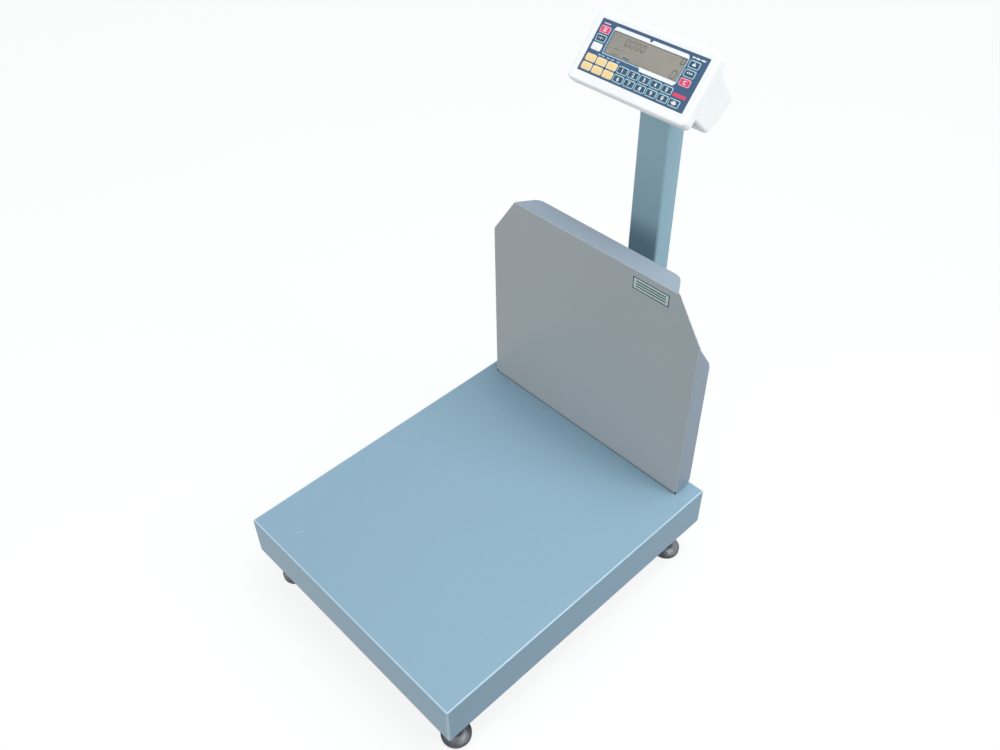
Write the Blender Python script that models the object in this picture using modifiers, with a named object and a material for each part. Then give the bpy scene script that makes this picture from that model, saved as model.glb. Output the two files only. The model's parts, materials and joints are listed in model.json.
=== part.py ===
"""A counting scale: a 500 by 600 mm weighing platform on one load cell, with a backrest, and an
indicator with a keypad on a column behind it. Metres, +Z up, origin on the floor under the
middle of the whole scale. The front, where the user stands, faces -Y."""
import math

import bmesh
import bpy
from mathutils import Matrix, Vector

# Clearances
GAP = 0.0003                    # left between pieces that touch
PLATFORM_TRAVEL = 0.0008        # the platform sinks this far before it meets its stops

# Platform cover: a pan of folded sheet
PLATFORM_WIDTH = 0.500
PLATFORM_DEPTH = 0.600
COVER_SHEET = 0.002
SKIRT_HEIGHT = 0.079
COVER_FOLD = 0.003

# Backrest: a folded sheet that stands on the platform's rear edge
BACKREST_WIDTH = 0.450
BACKREST_HEIGHT = 0.415
BACKREST_SHEET = 0.002
BACKREST_FLANGE = 0.042
BACKREST_CHAMFER_X = 0.052
BACKREST_CHAMFER_Z = 0.078
BACKREST_FOLD = 0.0025
BACKREST_CORNER = 0.006
BACKREST_OFFSET = -0.003        # it stands a little left of the middle
FLANGE_CORNER = 0.010
FOOT_FLANGE_TAPER = 0.007
BACKREST_BOLT_SPREAD = 0.240
BACKREST_BOLT_REAR = 0.0125     # bolt centre to the platform's rear edge

# Base frame and top frame: ladders of square tube
FLOOR_CLEARANCE = 0.0475        # floor to the base frame's underside
BASE_TUBE = 0.030
TOP_TUBE = 0.025
TUBE_WALL = 0.002
CROSS_SPREAD = 0.110            # between the centres of the two cross tubes
OUTRIGGER_SPREAD = 0.080        # between the two tubes that carry the column
DRAIN_RADIUS = 0.003

# Load cell and its spacers
CELL_LENGTH = 0.150
CELL_WIDTH = 0.040
CELL_HEIGHT = 0.040
CELL_BORE_RADIUS = 0.0135
CELL_BORE_SPREAD = 0.038
CELL_SLOT = 0.010
LOWER_SPACER = 0.0085
UPPER_SPACER = 0.0035
SPACER_LENGTH = 0.036
CELL_BOLT_RADIUS = 0.004
CELL_BOLT_SPREAD = 0.018
CELL_BOLT_DEPTH = 0.015

# Levelling feet
FOOT_INSET_X = 0.034            # foot centre to the platform's side
FOOT_INSET_Y = 0.040            # foot centre to the platform's front or rear
PAD_RADIUS = 0.025
PAD_RIM = 0.007
PAD_HEIGHT = 0.023
PAD_BOSS_RADIUS = 0.0105
PAD_BOSS_HEIGHT = 0.007         # straight boss above the curved skirt
PAD_CHAMFER = 0.0015
PAD_FLOOR = 0.003               # pad under the stud, above the rim
FOOT_TRAVEL = 0.015             # how far a pad screws down from its highest place
STUD_RADIUS = 0.006
STUD_SPARE = 0.003              # stud left in the frame with its pad right down
STUD_COLLAR = 0.006
STUD_COLLAR_HEX = 0.0098        # across the corners, halved
LOCK_NUT_HEX = 0.0110
LOCK_NUT_HEIGHT = 0.010
WELD_NUT_RADIUS = 0.011
WELD_NUT_HEIGHT = 0.008

# Overload stops: bolts on the base frame, under the top frame
STOP_FROM_FOOT = 0.050
STOP_RADIUS = 0.004
STOP_HEX = 0.0075
STOP_NUT = 0.0065
STOP_HEAD = 0.0055
STOP_SINK = 0.010               # how far its thread reaches into the tube

# Bolts with nuts
BACKREST_BOLT = {"radius": 0.003, "corner": 0.0058, "head": 0.004, "nut": 0.005}
COLUMN_BOLT = {"radius": 0.005, "corner": 0.0098, "head": 0.0065, "nut": 0.008}

# Column: a rectangular tube welded to a foot plate
COLUMN_WIDTH = 0.060
COLUMN_DEPTH = 0.040
COLUMN_WALL = 0.002
COLUMN_CORNER = 0.004
COLUMN_SETBACK = 0.083          # platform's rear edge to the column's front face
FOOT_PLATE_WIDTH = 0.110
FOOT_PLATE_FRONT = 0.050        # foot plate in front of the column
FOOT_PLATE_LIP = 0.012          # foot plate behind the column
FOOT_PLATE_SHEET = 0.006
FOOT_PLATE_BOLT = 0.014         # bolt centre to the foot plate's front edge
FOOT_PLATE_SILL = 0.002         # foot plate that shows inside the column's bore
UNDERSIDE_HEIGHT = 0.7918       # floor to the indicator's underside, over the column's axis

# Head bracket: a sleeve in the column with a plate on its slanting end
BRACKET_PLATE = 0.004
BRACKET_WIDTH = 0.090
BRACKET_LENGTH = 0.034
BRACKET_SLEEVE = 0.050
BRACKET_WALL = 0.003
GLAND_ROOM = 0.0105

# Indicator, in its own frame: X across, Y up the keypad, Z out of the keypad
HEAD_TILT = math.radians(48.5)
OVERLAY_WIDTH = 0.196
OVERLAY_HEIGHT = 0.081
OVERLAY_SHEET = 0.0012
OVERLAY_CORNER = 0.001
BEZEL_SIDE = 0.0125
BEZEL_TOP = 0.0135
BEZEL_BOTTOM = 0.0165
BEZEL_PROUD = 0.0004
BEZEL_CORNER = 0.008
BEZEL_EDGE = 0.004
FRONT_WALL = 0.0034
FRONT_DEPTH = 0.0167            # keypad face to the front shell's open back
REAR_WALL = 0.0025
FLANGE_STEP = 0.0005            # rear flange set in from the front shell
BODY_SIDE_STEP = 0.001          # rear body set in from the front shell at each side
BODY_TOP = 0.041                # rear body's upper and lower front edges
BODY_BOTTOM = -0.040
BODY_LOW_CORNER = (-0.043, -0.07375)
BODY_REAR_CORNER = (0.022, -0.090)
BODY_LOW_RADIUS = 0.011
BODY_EDGE = 0.006
BRACKET_PLACE = 0.0006          # height up the keypad of the bracket's centre

# Keypad, from the overlay's lower left corner
KEY_WIDTH = 0.0186
KEY_HEIGHT = 0.0112
KEY_SHEET = 0.0012
KEY_CORNER = 0.0022
KEY_PROUD = 0.0004
KEY_TRAVEL = 0.0004
KEY_FIRST_X = 0.0129
KEY_PITCH_X = 0.0204
KEY_FIRST_Y = 0.0088
KEY_PITCH_Y = 0.0132
KEY_UPPER_Y = 0.0396
WINDOW_WIDTH = 0.1335
WINDOW_HEIGHT = 0.0345
WINDOW_CENTRE = (-0.0026, 0.0127)
WINDOW_LEDGE = 0.002

# Inside the indicator
LCD_MARGIN = 0.004
LCD_DEPTH = 0.006
BOARD_WIDTH = 0.180
BOARD_HEIGHT = 0.084
BOARD_SHEET = 0.0016
BOARD_CORNER = 0.003
BATTERY_SIZE = (0.050, 0.029, 0.0435)
BATTERY_EDGE = 0.004
GLAND_RADIUS = 0.0085
GLAND_NECK = 0.006
GLAND_BORE = 0.003
GLAND_HEAD = 0.006

# Levels above the floor, each resting on the one below
BASE_TOP = FLOOR_CLEARANCE + BASE_TUBE
CELL_LOW = BASE_TOP + GAP + LOWER_SPACER + GAP
CELL_TOP = CELL_LOW + CELL_HEIGHT
TOP_FRAME_LOW = CELL_TOP + GAP + UPPER_SPACER + GAP
TOP_FRAME_TOP = TOP_FRAME_LOW + TOP_TUBE
PLATFORM_TOP = TOP_FRAME_TOP + GAP + COVER_SHEET
PLATE_LOW = BASE_TOP + GAP
PLATE_TOP = PLATE_LOW + FOOT_PLATE_SHEET
LOCK_NUT_TOP = FLOOR_CLEARANCE - GAP
STUD_TOP = BASE_TOP + FOOT_TRAVEL + STUD_SPARE

# Places seen from above, from the platform's middle
HALF_WIDTH = PLATFORM_WIDTH / 2
HALF_DEPTH = PLATFORM_DEPTH / 2
FOOT_X = HALF_WIDTH - FOOT_INSET_X
FOOT_Y = HALF_DEPTH - FOOT_INSET_Y
BACKREST_Y = HALF_DEPTH - BACKREST_FLANGE
COLUMN_FRONT = HALF_DEPTH + COLUMN_SETBACK
COLUMN_Y = COLUMN_FRONT + COLUMN_DEPTH / 2
PLATE_FRONT = COLUMN_FRONT - FOOT_PLATE_FRONT
REAR_END = COLUMN_FRONT + COLUMN_DEPTH + FOOT_PLATE_LIP
PLATFORM_Y = (HALF_DEPTH - REAR_END) / 2
CORNERS = ((1, -1), (1, 1), (-1, 1), (-1, -1))

# Depths in the indicator, along the keypad's outward normal
RECESS_FLOOR = min(-OVERLAY_SHEET - GAP, KEY_PROUD - KEY_SHEET - KEY_TRAVEL - GAP)
FRONT_INSIDE = BEZEL_PROUD - FRONT_WALL
LCD_FRONT = FRONT_INSIDE - GAP
BOARD_FRONT = LCD_FRONT - LCD_DEPTH - GAP
FLANGE_FRONT = -FRONT_DEPTH - GAP
FLANGE_BACK = FLANGE_FRONT - REAR_WALL
SLAB_HALF = OVERLAY_WIDTH / 2 + BEZEL_SIDE
SLAB_TOP = OVERLAY_HEIGHT / 2 + BEZEL_TOP
SLAB_BOTTOM = -OVERLAY_HEIGHT / 2 - BEZEL_BOTTOM
BODY_HALF = SLAB_HALF - BODY_SIDE_STEP
UNDERSIDE = Vector(BODY_REAR_CORNER) - Vector(BODY_LOW_CORNER)
UNDERSIDE_ANGLE = HEAD_TILT + math.atan2(UNDERSIDE.y, UNDERSIDE.x)

# Turns a shape drawn in X and Y so that its X lies along Y, its Y along Z, its thickness along X
SIDEWAYS = Matrix(((0, 0, 1, 0), (1, 0, 0, 0), (0, 1, 0, 0), (0, 0, 0, 1)))


def clear_scene():
    for obj in list(bpy.data.objects):
        bpy.data.objects.remove(obj, do_unlink=True)


def make_material(name, colour, roughness, metallic=0.0):
    made = bpy.data.materials.new(name)
    made.use_nodes = True
    shader = made.node_tree.nodes["Principled BSDF"]
    shader.inputs["Base Color"].default_value = (*colour, 1.0)
    shader.inputs["Roughness"].default_value = roughness
    shader.inputs["Metallic"].default_value = metallic
    return made


def make_materials():
    return {
        "paint": make_material("blue_grey_paint", (0.33, 0.47, 0.60), 0.45),
        "panel": make_material("grey_paint", (0.27, 0.32, 0.35), 0.5),
        "steel": make_material("steel", (0.50, 0.50, 0.50), 0.35, 1.0),
        "cell": make_material("bare_aluminium", (0.75, 0.76, 0.78), 0.35, 1.0),
        "housing": make_material("white_plastic", (0.85, 0.85, 0.84), 0.45),
        "overlay": make_material("blue_overlay", (0.045, 0.11, 0.23), 0.4),
        "yellow": make_material("yellow_key", (0.95, 0.72, 0.33), 0.4),
        "red": make_material("red_key", (0.75, 0.05, 0.12), 0.4),
        "white": make_material("white_key", (0.88, 0.88, 0.88), 0.4),
        "window": make_material("display_window", (0.36, 0.33, 0.28), 0.15),
        "board": make_material("circuit_board", (0.03, 0.20, 0.08), 0.5),
        "sleeve": make_material("battery_sleeve", (0.05, 0.12, 0.30), 0.5),
        "black": make_material("black_plastic", (0.03, 0.03, 0.03), 0.5),
    }


def linked(mesh):
    """A working object for a mesh, removed again by evaluated()."""
    obj = bpy.data.objects.new("work", mesh)
    bpy.context.scene.collection.objects.link(obj)
    return obj


def evaluated(obj):
    """The object's mesh after its modifiers. The object is removed."""
    bpy.context.view_layer.update()
    depsgraph = bpy.context.evaluated_depsgraph_get()
    mesh = bpy.data.meshes.new_from_object(obj.evaluated_get(depsgraph))
    bpy.data.objects.remove(obj, do_unlink=True)
    return mesh


def to_mesh(bm):
    mesh = bpy.data.meshes.new("shape")
    bm.to_mesh(mesh)
    bm.free()
    return mesh


def welded(mesh, merge=1e-6):
    """The mesh with loose neighbours merged and its faces turned outwards."""
    bm = bmesh.new()
    bm.from_mesh(mesh)
    bmesh.ops.remove_doubles(bm, verts=bm.verts, dist=merge)
    bmesh.ops.recalc_face_normals(bm, faces=bm.faces)
    return to_mesh(bm)


def moved(mesh, matrix):
    mesh.transform(matrix)
    return mesh


def modified(mesh, *steps):
    """The mesh after the modifiers in steps, each one a kind and its settings."""
    obj = linked(mesh)
    for kind, settings in steps:
        modifier = obj.modifiers.new(kind.lower(), kind)
        for name, value in settings.items():
            setattr(modifier, name, value)
    return evaluated(obj)


def fused(pieces, cuts=()):
    """One mesh from overlapping pieces, less the cuts."""
    whole = linked(pieces[0])
    tools = []
    steps = [(piece, "UNION") for piece in pieces[1:]] + [(cut, "DIFFERENCE") for cut in cuts]
    for mesh, operation in steps:
        tool = linked(mesh)
        tools.append(tool)
        modifier = whole.modifiers.new(operation.lower(), "BOOLEAN")
        modifier.operation = operation
        modifier.solver = "EXACT"
        modifier.object = tool
    result = evaluated(whole)
    for tool in tools:
        bpy.data.objects.remove(tool, do_unlink=True)
    return result


def rectangle(width, height, centre=(0.0, 0.0)):
    x, y = centre
    return [
        (x - width / 2, y - height / 2),
        (x + width / 2, y - height / 2),
        (x + width / 2, y + height / 2),
        (x - width / 2, y + height / 2),
    ]


def rounded(corners, radii, segments=3):
    """A closed outline whose corners are arcs of the given radii, or one radius for all."""
    if isinstance(radii, float):
        radii = [radii] * len(corners)
    points = []
    for i, radius in enumerate(radii):
        corner = Vector(corners[i])
        if radius == 0:
            points.append(tuple(corner))
            continue
        back = (Vector(corners[i - 1]) - corner).normalized()
        ahead = (Vector(corners[(i + 1) % len(corners)]) - corner).normalized()
        half = back.angle(ahead) / 2
        centre = corner + (back + ahead).normalized() * radius / math.sin(half)
        start = corner + back * radius / math.tan(half) - centre
        end = corner + ahead * radius / math.tan(half) - centre
        turn = math.pi - 2 * half
        for step in range(segments + 1):
            t = step / segments
            ray = (start * math.sin((1 - t) * turn) + end * math.sin(t * turn)) / math.sin(turn)
            points.append(tuple(centre + ray))
    return points


def circle(radius, centre=(0.0, 0.0), sides=16):
    turns = [2 * math.pi * i / sides for i in range(sides)]
    return [(centre[0] + radius * math.cos(a), centre[1] + radius * math.sin(a)) for a in turns]


def prism(outlines, low, high):
    """A flat shape from z = low to z = high. The outlines inside the first one are holes. With
    no holes, each end is one face."""
    curve = bpy.data.curves.new("outline", "CURVE")
    curve.dimensions = "2D"
    curve.fill_mode = "BOTH"
    curve.extrude = (high - low) / 2
    for points in outlines:
        spline = curve.splines.new("POLY")
        spline.points.add(len(points) - 1)
        for point, (x, y) in zip(spline.points, points):
            point.co = (x, y, 0, 1)
        spline.use_cyclic_u = True
    mesh = evaluated(linked(curve))
    mesh.transform(Matrix.Translation((0, 0, (low + high) / 2)))
    mesh = welded(mesh)
    if len(outlines) == 1:
        bm = bmesh.new()
        bm.from_mesh(mesh)
        flat = math.radians(1)
        bmesh.ops.dissolve_limit(bm, angle_limit=flat, verts=bm.verts, edges=bm.edges)
        mesh = to_mesh(bm)
    return mesh


def block(size, centre=(0.0, 0.0, 0.0)):
    bm = bmesh.new()
    bmesh.ops.create_cube(bm, size=1.0)
    bmesh.ops.scale(bm, vec=size, verts=bm.verts)
    bmesh.ops.translate(bm, vec=centre, verts=bm.verts)
    return to_mesh(bm)


def rod(radius, low, high, centre=(0.0, 0.0), sides=16):
    """An upright cylinder, or a hexagon bar with six sides."""
    bm = bmesh.new()
    bmesh.ops.create_cone(
        bm, cap_ends=True, segments=sides, radius1=radius, radius2=radius, depth=high - low
    )
    bmesh.ops.translate(bm, vec=(*centre, (low + high) / 2), verts=bm.verts)
    return to_mesh(bm)


def turned(profile, steps):
    """A shape turned about Z. The profile at +X runs down its outer side."""
    bm = bmesh.new()
    verts = [bm.verts.new((x, 0, z)) for x, z in profile]
    for a, b in zip(verts, verts[1:]):
        bm.edges.new((a, b))
    screw = {
        "axis": "Z", "angle": 2 * math.pi, "steps": steps, "render_steps": steps,
        "use_merge_vertices": True, "merge_threshold": 1e-5,
    }
    return welded(modified(to_mesh(bm), ("SCREW", screw)))


def smooth(mesh, sharp_degrees=35):
    mesh.shade_smooth()
    mesh.set_sharp_from_angle(angle=math.radians(sharp_degrees))
    return mesh


def add(name, mesh, material, parent, location=(0.0, 0.0, 0.0), rotation_x=0.0):
    """A named piece of the scale, placed in its parent's frame."""
    if material.name not in mesh.materials:
        mesh.materials.append(material)
    obj = bpy.data.objects.new(name, mesh)
    obj.location = location
    obj.rotation_euler = (rotation_x, 0, 0)
    obj.parent = parent
    bpy.data.collections["counting_scale"].objects.link(obj)
    return obj


def add_empty(name, parent=None, location=(0.0, 0.0, 0.0), rotation_x=0.0):
    empty = bpy.data.objects.new(name, None)
    empty.location = location
    empty.rotation_euler = (rotation_x, 0, 0)
    empty.parent = parent
    bpy.data.collections["counting_scale"].objects.link(empty)
    return empty


def bolt_with_nut(radius, corner, head, nut, grip):
    """A hexagon bolt whose head's seat is at z = 0 and whose nut is under the grip below it."""
    sunk = head / 2
    low = -grip - 2 * GAP
    return fused([
        rod(corner, GAP, GAP + head, sides=6),
        rod(radius, low - nut + sunk / 2, GAP + sunk, sides=12),
        rod(corner, low - nut, low, sides=6),
    ])


def backrest_bolt_places():
    y = HALF_DEPTH - BACKREST_BOLT_REAR
    return [(BACKREST_OFFSET + side * BACKREST_BOLT_SPREAD / 2, y) for side in (-1, 1)]


def column_bolt_places():
    y = PLATE_FRONT + FOOT_PLATE_BOLT
    return [(side * OUTRIGGER_SPREAD / 2, y) for side in (-1, 1)]


def add_cover(root, materials):
    """The platform's pan: a box open below, folded, then drilled for the backrest's bolts."""
    bm = bmesh.new()
    bmesh.ops.create_cube(bm, size=1.0)
    bmesh.ops.scale(bm, vec=(PLATFORM_WIDTH, PLATFORM_DEPTH, SKIRT_HEIGHT), verts=bm.verts)
    bmesh.ops.translate(bm, vec=(0, 0, PLATFORM_TOP - SKIRT_HEIGHT / 2), verts=bm.verts)
    underside = min(bm.faces, key=lambda face: face.calc_center_median().z)
    bmesh.ops.delete(bm, geom=[underside], context="FACES_ONLY")
    folds = {"width": COVER_FOLD, "segments": 2, "limit_method": "ANGLE"}
    sheet = {"thickness": COVER_SHEET, "offset": -1, "use_even_offset": True}
    pan = modified(to_mesh(bm), ("BEVEL", folds), ("SOLIDIFY", sheet))
    hole = BACKREST_BOLT["radius"] + GAP
    low = PLATFORM_TOP - 2 * COVER_SHEET
    high = PLATFORM_TOP + COVER_SHEET
    holes = [rod(hole, low, high, place, 12) for place in backrest_bolt_places()]
    add("platform_cover", smooth(fused([pan], holes)), materials["paint"], root)


def backrest_outline():
    """The front sheet's outline in X and Z, and which of its edges carry a flange."""
    half = BACKREST_WIDTH / 2
    corners = [
        (-half, 0.0), (half, 0.0),
        (half, BACKREST_HEIGHT - BACKREST_CHAMFER_Z),
        (half - BACKREST_CHAMFER_X, BACKREST_HEIGHT),
        (BACKREST_CHAMFER_X - half, BACKREST_HEIGHT),
        (-half, BACKREST_HEIGHT - BACKREST_CHAMFER_Z),
    ]
    return rounded(corners, [BACKREST_CORNER, BACKREST_CORNER, 0, 0, 0, 0], segments=2)


def flange_taper(end, axis):
    """How far a flange's rear corner is set in from its end on the fold. The blank's upper
    corners are each cut off along one line, which runs on through the flanges."""
    if end.z < BACKREST_CORNER + GAP:
        return 0 if axis == "Z" else FOOT_FLANGE_TAPER
    slope = BACKREST_CHAMFER_Z / BACKREST_CHAMFER_X
    return BACKREST_FLANGE * (slope if axis == "Z" else 1 / slope)


def fold_back(bm, edge, axis):
    """Adds the flange that is folded back along one edge of the front sheet."""
    ends = {vert.co.copy().freeze(): other.co.copy()
            for vert, other in (edge.verts, reversed(edge.verts))}
    made = bmesh.ops.extrude_edge_only(bm, edges=[edge])["geom"]
    rear = [item for item in made if isinstance(item, bmesh.types.BMVert)]
    for vert in rear:
        end = vert.co.copy().freeze()
        inwards = (ends[end] - end).normalized()
        vert.co += inwards * flange_taper(end, axis) + Vector((0, BACKREST_FLANGE, 0))
    bmesh.ops.bevel(
        bm, geom=rear, offset=FLANGE_CORNER, offset_type="OFFSET", segments=4,
        affect="VERTICES", profile=0.5,
    )


def add_backrest(root, materials):
    """A sheet with chamfered upper corners, its top, sides and foot folded back."""
    bm = bmesh.new()
    verts = [bm.verts.new((x, 0, z)) for x, z in backrest_outline()]
    front = bm.faces.new(verts)
    folds = []
    for edge in front.edges:
        run = edge.verts[1].co - edge.verts[0].co
        if run.length > BACKREST_CORNER and min(abs(run.x), abs(run.z)) < GAP:
            folds.append((edge, "X" if abs(run.x) > abs(run.z) else "Z"))
    for edge, axis in folds:
        fold_back(bm, edge, axis)
    bmesh.ops.recalc_face_normals(bm, faces=bm.faces)
    if front.normal.y > 0:
        bmesh.ops.reverse_faces(bm, faces=bm.faces)
    bends = {"width": BACKREST_FOLD, "segments": 2, "limit_method": "ANGLE"}
    sheet = {"thickness": BACKREST_SHEET, "offset": -1, "use_even_offset": True}
    panel = modified(to_mesh(bm), ("BEVEL", bends), ("SOLIDIFY", sheet))
    place = Vector((BACKREST_OFFSET, BACKREST_Y, PLATFORM_TOP + GAP))
    moved(panel, Matrix.Translation(place))
    hole = BACKREST_BOLT["radius"] + GAP
    low = place.z - BACKREST_SHEET
    holes = [rod(hole, low, low + 3 * BACKREST_SHEET, at, 12) for at in backrest_bolt_places()]
    add("backrest_panel", smooth(fused([panel], holes)), materials["panel"], root)
    seat = place.z + BACKREST_SHEET
    grip = BACKREST_SHEET + GAP + COVER_SHEET
    bolt = bolt_with_nut(**BACKREST_BOLT, grip=grip)
    for number, (x, y) in enumerate(backrest_bolt_places(), 1):
        add(f"backrest_bolt_{number}", bolt, materials["steel"], root, (x, y, seat))


def ladder(half_tube, rear=None):
    """Outlines of a frame with two cross tubes, its tubes 2 * half_tube wide, and of its
    windows. With rear given, two more tubes reach back to it."""
    x = FOOT_X + half_tube
    y = FOOT_Y + half_tube
    outline = [(-x, -y), (x, -y), (x, y)]
    if rear is not None:
        for side in (1, -1):
            middle = side * OUTRIGGER_SPREAD / 2
            outline += [
                (middle + half_tube, y), (middle + half_tube, rear),
                (middle - half_tube, rear), (middle - half_tube, y),
            ]
    outline.append((-x, y))
    inner = FOOT_X - half_tube
    cross = CROSS_SPREAD / 2
    spans = [
        (half_tube - FOOT_Y, -cross - half_tube),
        (half_tube - cross, cross - half_tube),
        (cross + half_tube, FOOT_Y - half_tube),
    ]
    windows = [rectangle(2 * inner, b - a, (0, (a + b) / 2)) for a, b in spans]
    return [outline, *windows]


def foot_places():
    return [(x * FOOT_X, y * FOOT_Y) for x, y in CORNERS]


def stop_places():
    return [(x * FOOT_X, y * (FOOT_Y - STOP_FROM_FOOT)) for x, y in CORNERS]


def add_base_frame(root, materials):
    """The base frame: welded square tube, its rear ends closed, with weld nuts over the feet."""
    half = BASE_TUBE / 2
    low, top = FLOOR_CLEARANCE, BASE_TOP
    tubes = prism(ladder(half, REAR_END), low, top)
    inside = prism(ladder(half - TUBE_WALL, REAR_END - TUBE_WALL), low + TUBE_WALL, top - TUBE_WALL)
    sunk = TUBE_WALL / 2
    nuts = [rod(WELD_NUT_RADIUS, top - sunk, top + WELD_NUT_HEIGHT, at) for at in foot_places()]
    over = top + 2 * WELD_NUT_HEIGHT
    cuts = [inside]
    cuts += [rod(STUD_RADIUS + GAP, low - half, over, at) for at in foot_places()]
    cuts += [rod(STOP_RADIUS + GAP, top - half, over, at, 12) for at in stop_places()]
    bolt = COLUMN_BOLT["radius"] + GAP
    cuts += [rod(bolt, low - half, over, at, 12) for at in column_bolt_places()]
    add("base_frame", smooth(fused([tubes, *nuts], cuts)), materials["steel"], root)


def add_top_frame(root, materials):
    """The frame under the cover, with drain holes in the corners of its underside."""
    half = TOP_TUBE / 2
    low, top = TOP_FRAME_LOW, TOP_FRAME_TOP
    tubes = prism(ladder(half), low, top)
    inside = prism(ladder(half - TUBE_WALL), low + TUBE_WALL, top - TUBE_WALL)
    drains = [rod(DRAIN_RADIUS, low - half, low + half, at, 8) for at in foot_places()]
    add("top_frame", smooth(fused([tubes], [inside, *drains])), materials["steel"], root)


def add_load_cell(root, materials):
    """The load cell: a bar with two bores joined by a slot, between its two spacers."""
    reach = CELL_BORE_SPREAD / 2
    slot_angle = math.asin(CELL_SLOT / 2 / CELL_BORE_RADIUS)
    arc = [slot_angle + (2 * math.pi - 2 * slot_angle) * i / 12 for i in range(13)]
    left = [(-reach + CELL_BORE_RADIUS * math.cos(a), CELL_BORE_RADIUS * math.sin(a)) for a in arc]
    right = [(-x, -y) for x, y in left]
    bar = prism([rectangle(CELL_LENGTH, CELL_HEIGHT), left + right], -CELL_WIDTH / 2, CELL_WIDTH / 2)
    moved(bar, SIDEWAYS)
    place = (0, 0, CELL_LOW + CELL_HEIGHT / 2)
    seat_y = CROSS_SPREAD / 2
    spots = [(0, side * CELL_BOLT_SPREAD / 2) for side in (-1, 1)]
    holes = []
    for end, face in ((-seat_y, -CELL_HEIGHT / 2), (seat_y, CELL_HEIGHT / 2)):
        inward = -math.copysign(CELL_BOLT_DEPTH, face)
        low, high = sorted((face - inward, face + inward))
        holes += [rod(CELL_BOLT_RADIUS, low, high, (x, y + end), 12) for x, y in spots]
    add("load_cell", smooth(fused([bar], holes)), materials["cell"], root, place)
    outlines = [rectangle(CELL_WIDTH, SPACER_LENGTH)]
    outlines += [circle(CELL_BOLT_RADIUS, spot, 12) for spot in spots]
    lower = prism(outlines, 0, LOWER_SPACER)
    upper = prism(outlines, 0, UPPER_SPACER)
    add("lower_spacer", lower, materials["steel"], root, (0, -seat_y, BASE_TOP + GAP))
    add("upper_spacer", upper, materials["steel"], root, (0, seat_y, CELL_TOP + GAP))


def pad_profile():
    """A bell-shaped foot pad: a pocket for the stud, a boss, a curved skirt and a flat base."""
    pocket = STUD_RADIUS + GAP
    pocket_floor = PAD_RIM + PAD_FLOOR
    neck = PAD_HEIGHT - PAD_BOSS_HEIGHT
    points = [
        (0, pocket_floor), (pocket, pocket_floor), (pocket, PAD_HEIGHT),
        (PAD_BOSS_RADIUS - PAD_CHAMFER, PAD_HEIGHT), (PAD_BOSS_RADIUS, PAD_HEIGHT - PAD_CHAMFER),
    ]
    width = PAD_RADIUS - PAD_BOSS_RADIUS
    drop = neck - PAD_RIM
    for i in range(4):
        a = math.pi / 2 * i / 3
        points.append((PAD_BOSS_RADIUS + width * (1 - math.cos(a)), neck - drop * math.sin(a)))
    edge = PAD_CHAMFER / 2
    points += [(PAD_RADIUS, edge), (PAD_RADIUS - edge, 0), (0, 0)]
    return points, pocket_floor


def add_feet(root, materials):
    """Four levelling feet: a pad, a stud that turns in it, and a lock nut under the frame."""
    profile, pocket_floor = pad_profile()
    pad = smooth(turned(profile, 20))
    stud_low = pocket_floor + GAP
    collar = PAD_HEIGHT + GAP
    stud = smooth(fused([
        rod(STUD_RADIUS, stud_low, STUD_TOP),
        rod(STUD_COLLAR_HEX, collar, collar + STUD_COLLAR, sides=6),
    ]))
    nut_low = LOCK_NUT_TOP - LOCK_NUT_HEIGHT
    hexagon = circle(LOCK_NUT_HEX, sides=6)
    nut = prism([hexagon, circle(STUD_RADIUS + GAP)], nut_low, LOCK_NUT_TOP)
    for number, (x, y) in enumerate(foot_places(), 1):
        add(f"foot_pad_{number}", pad, materials["steel"], root, (x, y, 0))
        add(f"foot_stud_{number}", stud, materials["steel"], root, (x, y, 0))
        add(f"lock_nut_{number}", nut, materials["steel"], root, (x, y, 0))


def add_stops(root, materials):
    """Bolts on the base frame that the top frame meets when the scale is overloaded."""
    top = TOP_FRAME_LOW - PLATFORM_TRAVEL - GAP
    seat = BASE_TOP + GAP
    stop = fused([
        rod(STOP_RADIUS, BASE_TOP - STOP_SINK, top - STOP_HEAD / 2, sides=12),
        rod(STOP_HEX, seat, seat + STOP_NUT, sides=6),
        rod(STOP_HEX, top - STOP_HEAD, top, sides=6),
    ])
    for number, (x, y) in enumerate(stop_places(), 1):
        add(f"overload_stop_{number}", stop, materials["steel"], root, (x, y, 0))


def above_underside(offset):
    """A block that holds all of space above the indicator's underside plane, moved by offset
    along the plane's normal."""
    size = 4 * COLUMN_WIDTH
    raised = Matrix.Translation((0, 0, offset + size / 2))
    return moved(block((size, size, size)), underside_frame() @ raised)


def underside_frame():
    """The plane of the indicator's underside: its origin is over the column's axis."""
    place = Matrix.Translation((0, COLUMN_Y, UNDERSIDE_HEIGHT))
    return place @ Matrix.Rotation(UNDERSIDE_ANGLE, 4, "X")


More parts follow.
